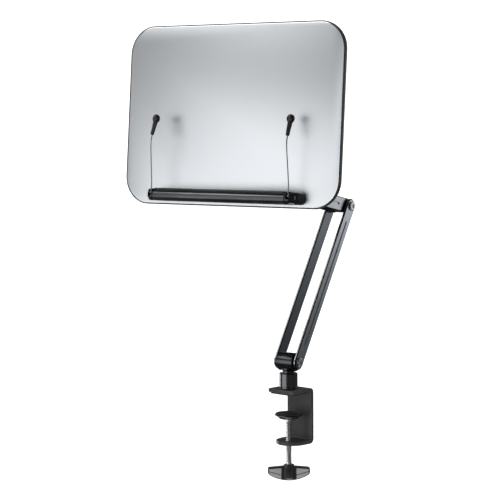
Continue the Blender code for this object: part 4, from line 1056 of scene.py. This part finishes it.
# A copy of the section is pushed, so the section itself stays as the front end of the top jaw.
end = push(bracket, [section.copy()], (0, web_back - bend - bracket_low.y, 0))
end = swing(bracket, end, (0, web_back - bend, top - bend))
end = push(bracket, end, (0, 0, bottom + bend - (top - bend)))
end = swing(bracket, end, (0, web_back - bend, bottom + bend))
end = push(bracket, end, (0, -LOWER_FRONT - (web_back - bend), 0))
bmesh.ops.remove_doubles(bracket, verts=bracket.verts, dist=WELD)
bmesh.ops.recalc_face_normals(bracket, faces=bracket.faces)
for level, reach, corner, steps in ((top - PLATE / 2, bracket_low.y, TOP_CORNER, 6),
                                    (bottom + PLATE / 2, -LOWER_FRONT, half_width - 0.05 * MM, 22)):
    tips = [e for e in bracket.edges if abs(e.verts[0].co.z - e.verts[1].co.z) > MM
            and all(abs(v.co.y - reach) < WELD and abs(v.co.z - level) < PLATE for v in e.verts)]
    bmesh.ops.bevel(bracket, geom=tips, affect="EDGES", **bevel_args(corner, steps))
soften(bracket, 0.7 * MM, 3, 50.0)
screw_hole = rod(SCREW_BORE, bottom - 2 * MM, bottom + PLATE + 2 * MM, sides=48)
sink_foot = under - 0.3 * MM
sink_top = sink_foot + BOLT_SINK - BOLT_BORE
bolt_hole = turned([(0, top + 3 * MM), (BOLT_BORE, top + 3 * MM), (BOLT_BORE, sink_top),
                    (BOLT_SINK, sink_foot), (BOLT_SINK, 0), (0, 0)], 40)
bracket = combine(bracket, [screw_hole, bolt_hole])
finish(bracket, "clamp_bracket", CLAMP, "clamp", [POWDER], 25.0)

# %% [markdown]
# ## Rubber under the jaw and on the pad
#
# Both faces that grip the desk are rubber, so the steel never touches the wood. The jaw's sheet has
# ribs across it: cuts divide its underside into narrow strips, and every second strip is pushed down.

# %% Jaw sheet
low, high = node_box("top_jaw_pad", CLAMP)
RIB_DEPTH = 0.5 * MM
STRIPS = 17
SHEET_CORNER = 3.0 * MM
pad = bmesh.new()
middle = (low + high) / 2
size = high - low
place = Matrix.Translation((middle.x, middle.y, high.z)) @ Matrix.Diagonal((size.x, size.y, 1, 1))
bmesh.ops.create_grid(pad, x_segments=1, y_segments=1, size=0.5, matrix=place)
bmesh.ops.bevel(pad, geom=list(pad.verts), affect="VERTICES", **bevel_args(SHEET_CORNER, 6))
thicken(pad, (0, 0, RIB_DEPTH - size.z))
for i in range(1, STRIPS):
    cut = low.y + size.y * i / STRIPS
    bmesh.ops.bisect_plane(pad, geom=pad.verts[:] + pad.edges[:] + pad.faces[:], plane_co=(0, cut, 0),
                           plane_no=(0, 1, 0))
strips = [f for f in pad.faces
          if f.calc_center_median().z < low.z + RIB_DEPTH + WELD and abs(f.normal.z) > 0.9]
strips.sort(key=lambda f: f.calc_center_median().y)
for face in strips[::2]:
    push(pad, [face], (0, 0, -RIB_DEPTH))
bmesh.ops.recalc_face_normals(pad, faces=pad.faces)
finish(pad, "top_jaw_pad", CLAMP, "clamp", [BLACK_RUBBER])

# %% [markdown]
# ## The pressure pad
#
# The pad is a dish turned from bar, with a rubber disc on top. It swivels on the end of the screw, so
# it stays still on the desk while the screw turns. The dish bulges like a quarter of an ellipse, and
# the disc has rings that the lathe gives it. The bulge stops short of the lower jaw at full travel.

# %% Pressure pad
RING_PITCH = 2.6 * MM
RING_DEPTH = 0.4 * MM
# The pad's own radii: of the dish's flat middle, of its bulge, and of the bore for the screw's end.
DISH_FLAT = 9.0 * MM
DISH_BULGE = 6.4 * MM
DISH_DEPTH = 4.5 * MM
DISH_TOP = 2.2 * MM
CLEAR_OF_JAW = 0.7 * MM
SEAT_DEPTH = 1.7 * MM

low, high = node_box("pad_rubber", CLAMP)
floor = high.z - RING_DEPTH
profile = [(0, high.z)]
for i in range(6):
    radius = 3.0 * MM + i * RING_PITCH
    profile += [(radius, high.z), (radius + 0.3 * MM, floor), (radius + 0.8 * MM, floor),
                (radius + 1.1 * MM, high.z)]
profile += [(high.x - 0.4 * MM, high.z), (high.x, floor), (high.x, low.z), (0, low.z)]
finish(turned(profile, 72), "pad_rubber", CLAMP, "pressure_pad", [BLACK_RUBBER], 40.0)

low, high = node_box("pad_plate", CLAMP)
rim = high.x
profile = [(0, high.z), (rim - 0.6 * MM, high.z), (rim, high.z - 0.5 * MM), (rim, high.z - 1.2 * MM),
           (rim - 0.6 * MM, high.z - 1.8 * MM), (DISH_FLAT + DISH_BULGE + 0.2 * MM, high.z - 2.0 * MM)]
profile += [(DISH_FLAT + DISH_BULGE * cos(a), high.z - DISH_TOP - DISH_DEPTH * sin(a))
            for a in (radians(15 * i) for i in range(7))]
profile += [(SCREW_BORE, low.z + CLEAR_OF_JAW), (SCREW_BORE, high.z - SEAT_DEPTH), (0, high.z - SEAT_DEPTH)]
plate = turned(profile, 96)
finish(plate, "pad_plate", CLAMP, "pressure_pad", [TURNED_BLACK], 40.0)

# %% [markdown]
# ## The clamp screw
#
# The screw has a real thread. A finely stepped cylinder is pushed in where the groove of the helix
# runs: the depth at each vertex depends on its height minus the share of the pitch that its angle
# adds. The thread fades out at both ends, as it does where the die starts and stops. A steel pin goes
# through the knob and the screw, so the knob can't work loose.

# %% Clamp screw
PITCH = 1.5 * MM
THREAD_DEPTH = 0.5 * MM
THREAD_STEPS = 32
ROWS_PER_TURN = 8
FADE = 2.5 * MM
SCREW_RADIUS = 3.9 * MM
END_RADIUS = 3.5 * MM
GROOVE_SLOPE = 2.6                # how steeply the groove's sides fall, across one pitch

low, high = node_box("clamp_screw", CLAMP)
knob_high = node_box("wing_knob", CLAMP)[1]
thread_low = knob_high.z + 2.0 * MM
thread_high = high.z - 7.5 * MM
rows = int((thread_high - thread_low) / PITCH * ROWS_PER_TURN)
profile = [(0, high.z), (END_RADIUS - 0.6 * MM, high.z), (END_RADIUS, high.z - 0.6 * MM),
           (END_RADIUS, thread_high + MM)]
profile += [(SCREW_RADIUS, thread_high + (thread_low - thread_high) * i / rows) for i in range(rows + 1)]
profile += [(SCREW_RADIUS, low.z + 0.4 * MM), (END_RADIUS, low.z), (0, low.z)]
screw = turned(profile, THREAD_STEPS)
for vertex in screw.verts:
    z = vertex.co.z
    inside = min(z - thread_low, thread_high - z)
    if inside > -WELD and vertex.co.xy.length > SCREW_RADIUS - WELD:
        angle = Vector((1, 0)).angle_signed(vertex.co.xy)
        turn = ((z / PITCH) + angle / tau) % 1.0
        cut = max(0.0, 1 - abs(turn - 0.5) * GROOVE_SLOPE)
        depth = THREAD_DEPTH * cut * min(1.0, max(0.0, inside / FADE))
        vertex.co.xy *= 1 - depth / SCREW_RADIUS
finish(screw, "clamp_screw", CLAMP, "clamp_screw", [ZINC], 60.0)

pin_low, pin_high = node_box("knob_pin", KNOB)
pin_span = pin_high - pin_low
along = max(range(3), key=lambda i: pin_span[i])
PIN_AXIS = "XYZ"[along]
pin_middle = (pin_low + pin_high) / 2
pin_middle[along] = 0
pin_size = min(pin_span) / 2
pin = rod(pin_size, pin_low[along], pin_high[along], PIN_AXIS, pin_middle, 24)
soften(pin, 0.2 * MM, 2)
finish(pin, "knob_pin", KNOB, "clamp_screw", [OXIDE])

# %% [markdown]
# ## The wing knob
#
# The knob is one moulding: a round hub with two flat wings. Both wings carry a satin grey inlay on
# each face, framed by a black rim and split into two fields by a slanting line. The wings' outline is
# a few corners and one arc for the belly, and the inlays follow the same arc a little further in.
# Slim upright ribs on the hub guide the thumb.

# %% Wing knob
WING_THICK = 11.0 * MM
RIM = 2.0 * MM
HUB_TOP = 7.6 * MM
HUB_FOOT = 9.6 * MM
HUB_BOWL = 5.0 * MM               # height of the rounded foot of the hub
INLAY_START = 10.6 * MM
INLAY_RAISE = 0.35 * MM
INLAY_SPLIT = 0.9 * MM
TIP_HEIGHT = 8.6 * MM
SET_LOWER = 1.2 * MM              # the knob sits this much below the frame's node
THUMB_RIB = 0.9 * MM
RIB_SPACING = 4.2 * MM
low, high = node_box("wing_knob", KNOB)
span = high.x
top = high.z - SET_LOWER
foot = low.z - SET_LOWER
tip_top = top - 4.4 * MM
shoulder = top - 2.6 * MM
tip_foot = tip_top - TIP_HEIGHT
sag = tip_foot - foot
arc_radius = (span ** 2 + sag ** 2) / (2 * sag)


def belly(x, inset=0.0):
    """Height of the knob's round underside at a distance from its middle."""
    return foot + arc_radius - ((arc_radius - inset) ** 2 - x ** 2) ** 0.5


def slab(corners, rounding, low_y, high_y, edge_rounding, segments=4):
    """A flat slab in the plane of X and Z with round corners and soft rims."""
    work = bmesh.new()
    work.faces.new([work.verts.new((x, low_y, z)) for x, z in corners])
    sharp = [v for v in work.verts if v.calc_edge_angle(0.0) > radians(20)]
    bmesh.ops.bevel(work, geom=sharp, affect="VERTICES", **bevel_args(rounding, 6))
    thicken(work, (0, high_y - low_y, 0))
    rims = [e for e in work.edges if abs(e.verts[0].co.y - e.verts[1].co.y) < WELD]
    bmesh.ops.bevel(work, geom=rims, affect="EDGES", **bevel_args(edge_rounding, segments))
    return work


under = [(x, belly(x)) for x in (span * i / 12 for i in range(-12, 13))]
wings = slab(under + [(span, tip_top), (9 * MM, shoulder), (-9 * MM, shoulder), (-span, tip_top)],
             2.6 * MM, -WING_THICK / 2, WING_THICK / 2, 1.4 * MM)
bowl_top = foot + HUB_BOWL
hub_profile = [(0, top), (HUB_TOP - 0.8 * MM, top), (HUB_TOP, top - 0.8 * MM), (HUB_FOOT, bowl_top)]
hub_profile += [(HUB_FOOT * cos(a), bowl_top - (HUB_BOWL - 0.1 * MM) * sin(a))
                for a in (radians(15 * i) for i in range(1, 6))]
joined = [turned(hub_profile + [(0, foot + 0.1 * MM)], 64)]

inner, outer = INLAY_START, span - RIM
split_out, split_in = tip_top - 4.6 * MM, tip_top - 9.4 * MM
upper_field = [(outer, tip_top - RIM + 0.6 * MM), (inner, shoulder - RIM), (inner, split_in),
               (outer, split_out)]
lower_field = [(x, belly(x, RIM * 0.7)) for x in (inner + (outer - inner) * i / 5 for i in range(6))]
lower_field += [(outer, split_out - INLAY_SPLIT), (inner, split_in - INLAY_SPLIT)]
for way in (-1, 1):
    for face_way in (-1, 1):
        seat, proud = sorted((face_way * (WING_THICK / 2 - MM), face_way * (WING_THICK / 2 + INLAY_RAISE)))
        for field in (upper_field, lower_field):
            joined.append(slab([(way * x, z) for x, z in field], 0.7 * MM, seat, proud, 0.25 * MM, 2))
for face_way in (-1, 1):
    for offset in (-RIB_SPACING, 0, RIB_SPACING):
        stand = face_way * ((HUB_FOOT ** 2 - offset ** 2) ** 0.5 - 0.5 * MM)
        joined.append(rod(THUMB_RIB, foot + 4.6 * MM, shoulder - MM, at=(offset, stand, 0), sides=20))
knob = combine(wings, joined, "UNION")
bore = rod(SCREW_RADIUS + 0.3 * MM, foot + 4.3 * MM, top + MM, sides=48)
pin_hole = rod(pin_size + 0.3 * MM, -20 * MM, 20 * MM, PIN_AXIS, pin_middle, 24)
knob = combine(knob, [bore, pin_hole])
for face in knob.faces:
    centre = face.calc_center_median()
    if abs(centre.y) > WING_THICK / 2 + 0.05 * MM and abs(centre.x) > 10 * MM:
        face.material_index = 1
finish(knob, "wing_knob", KNOB, "clamp_screw", [ABS_STIPPLE, ABS_GREY], 30.0)

# %% [markdown]
# ## Hidden pieces
#
# The bolt under the collar and the plate inside the panel's back keep the frame's own meshes. They
# only need a finish, in case someone takes the stand apart.

# %% Materials for the hidden pieces
for node in ("collar_bolt", "mount_backing_plate"):
    hidden = frame["nodes"][node]
    hidden.data.materials.clear()
    hidden.data.materials.append(ZINC)
print(len(made_pieces), "finished pieces")

# %% [markdown]
# ## Camera
#
# The camera is far away with a long lens, as for a catalogue, so the panel's sides stay almost
# parallel. Three turns aim it: the way it faces, a slight look down, and a trace of roll.

# %% Camera
LENS = 125.77
CAMERA_PLACE = (1.3057, -2.0242, 0.4067)
CAMERA_HEADING = radians(34.07)
CAMERA_PITCH = radians(90 - 4.89)
CAMERA_ROLL = radians(-0.37)
scene = bpy.context.scene

camera_data = bpy.data.cameras.new("camera")
camera_data.lens = LENS
camera_data.clip_end = 20.0
camera = bpy.data.objects.new("camera", camera_data)
camera.matrix_world = (Matrix.Translation(CAMERA_PLACE) @ Matrix.Rotation(CAMERA_HEADING, 4, "Z")
                       @ Matrix.Rotation(CAMERA_PITCH, 4, "X") @ Matrix.Rotation(CAMERA_ROLL, 4, "Z"))
scene.collection.objects.link(camera)
scene.camera = camera
print(f"lens {LENS} mm, {camera.matrix_world.translation.length:.2f} m from the clamp")

# %% [markdown]
# ## Backdrop
#
# The stand hangs from a desk that is not shown, so it floats in front of white paper that has no
# corner to see: a round floor that curves up into a wall, drawn by the lathe as well. The paper glows
# a little, as if lit by lamps of its own. It is hidden from reflections, because metal that mirrors
# only white looks like chalk.

# %% Backdrop
FLOOR_LEVEL = -1.25
ROOM_RADIUS = 6.5
COVE_RADIUS = 2.0
WALL_TOP = 5.0
paper = bpy.data.materials.new("white_paper_sweep")
paper.use_nodes = True
paper_shader = paper.node_tree.nodes["Principled BSDF"]
paper_shader.inputs["Base Color"].default_value = (0.6, 0.6, 0.6, 1)
paper_shader.inputs["Roughness"].default_value = 0.9
paper_shader.inputs["Emission Color"].default_value = (1, 1, 1, 1)
paper_shader.inputs["Emission Strength"].default_value = 0.8

cove = [(ROOM_RADIUS - COVE_RADIUS * (1 - sin(a)), FLOOR_LEVEL + COVE_RADIUS * (1 - cos(a)))
        for a in (pi / 2 * i / 16 for i in range(17))]
sweep = turned([(0, FLOOR_LEVEL)] + cove + [(ROOM_RADIUS, WALL_TOP)], 96)
bmesh.ops.reverse_faces(sweep, faces=sweep.faces)
mesh = bpy.data.meshes.new("backdrop")
sweep.to_mesh(mesh)
sweep.free()
mesh.materials.append(paper)
mesh.shade_smooth()
backdrop = bpy.data.objects.new("backdrop", mesh)
backdrop.visible_glossy = False
scene.collection.objects.link(backdrop)
print("backdrop:", len(mesh.polygons), "faces")

# %% [markdown]
# ## Light
#
# Seven soft boxes light the stand. A big one low at the front left fills the silver panel, narrow
# ones at the sides and the back draw one clear band on each round part, and a small card under the
# clamp lifts its underside. The view transform is the plain one, so the paper stays white.

# %% Lights
PANEL_CENTRE = (0, -0.14, 0.3)
CLAMP_CENTRE = (0, 0, 0)

world = bpy.data.worlds.new("studio_room")
world.use_nodes = True
sky = world.node_tree.nodes["Background"]
sky.inputs["Color"].default_value = (1, 1, 1, 1)
sky.inputs["Strength"].default_value = 0.1
scene.world = world
scene.view_settings.view_transform = "Standard"


def soft_light(name, place, aim, width, height, power):
    """A soft box that looks at a point; sizes are in metres and power in watts."""
    data = bpy.data.lights.new(name, "AREA")
    data.shape = "RECTANGLE"
    data.size = width
    data.size_y = height
    data.energy = power
    item = bpy.data.objects.new(name, data)
    item.visible_camera = False
    item.matrix_world = (Matrix.Translation(place)
                         @ (Vector(place) - Vector(aim)).to_track_quat("Z", "Y").to_matrix().to_4x4())
    scene.collection.objects.link(item)
    return item


boxes = [soft_light("overhead_left", (-1.6, -1.6, 2.3), CLAMP_CENTRE, 1.8, 1.3, 16),
         soft_light("front_left", (-1.3, -2.9, 0.02), PANEL_CENTRE, 3.4, 1.9, 31),
         soft_light("left_edge", (-2.4, 0.5, 0.0), CLAMP_CENTRE, 0.7, 2.4, 28),
         soft_light("back_right", (1.5, 2.6, 0.5), CLAMP_CENTRE, 1.2, 1.0, 9),
         soft_light("back_top", (-0.4, 2.4, 2.8), CLAMP_CENTRE, 1.2, 1.2, 12),
         soft_light("right_fill", (2.6, -1.0, 0.8), CLAMP_CENTRE, 0.6, 1.6, 4),
         soft_light("low_card", (-0.02, 0.02, -0.6), CLAMP_CENTRE, 0.36, 0.36, 2.2)]
print(len(boxes), "soft boxes,", sum(item.data.energy for item in boxes), "W in all")
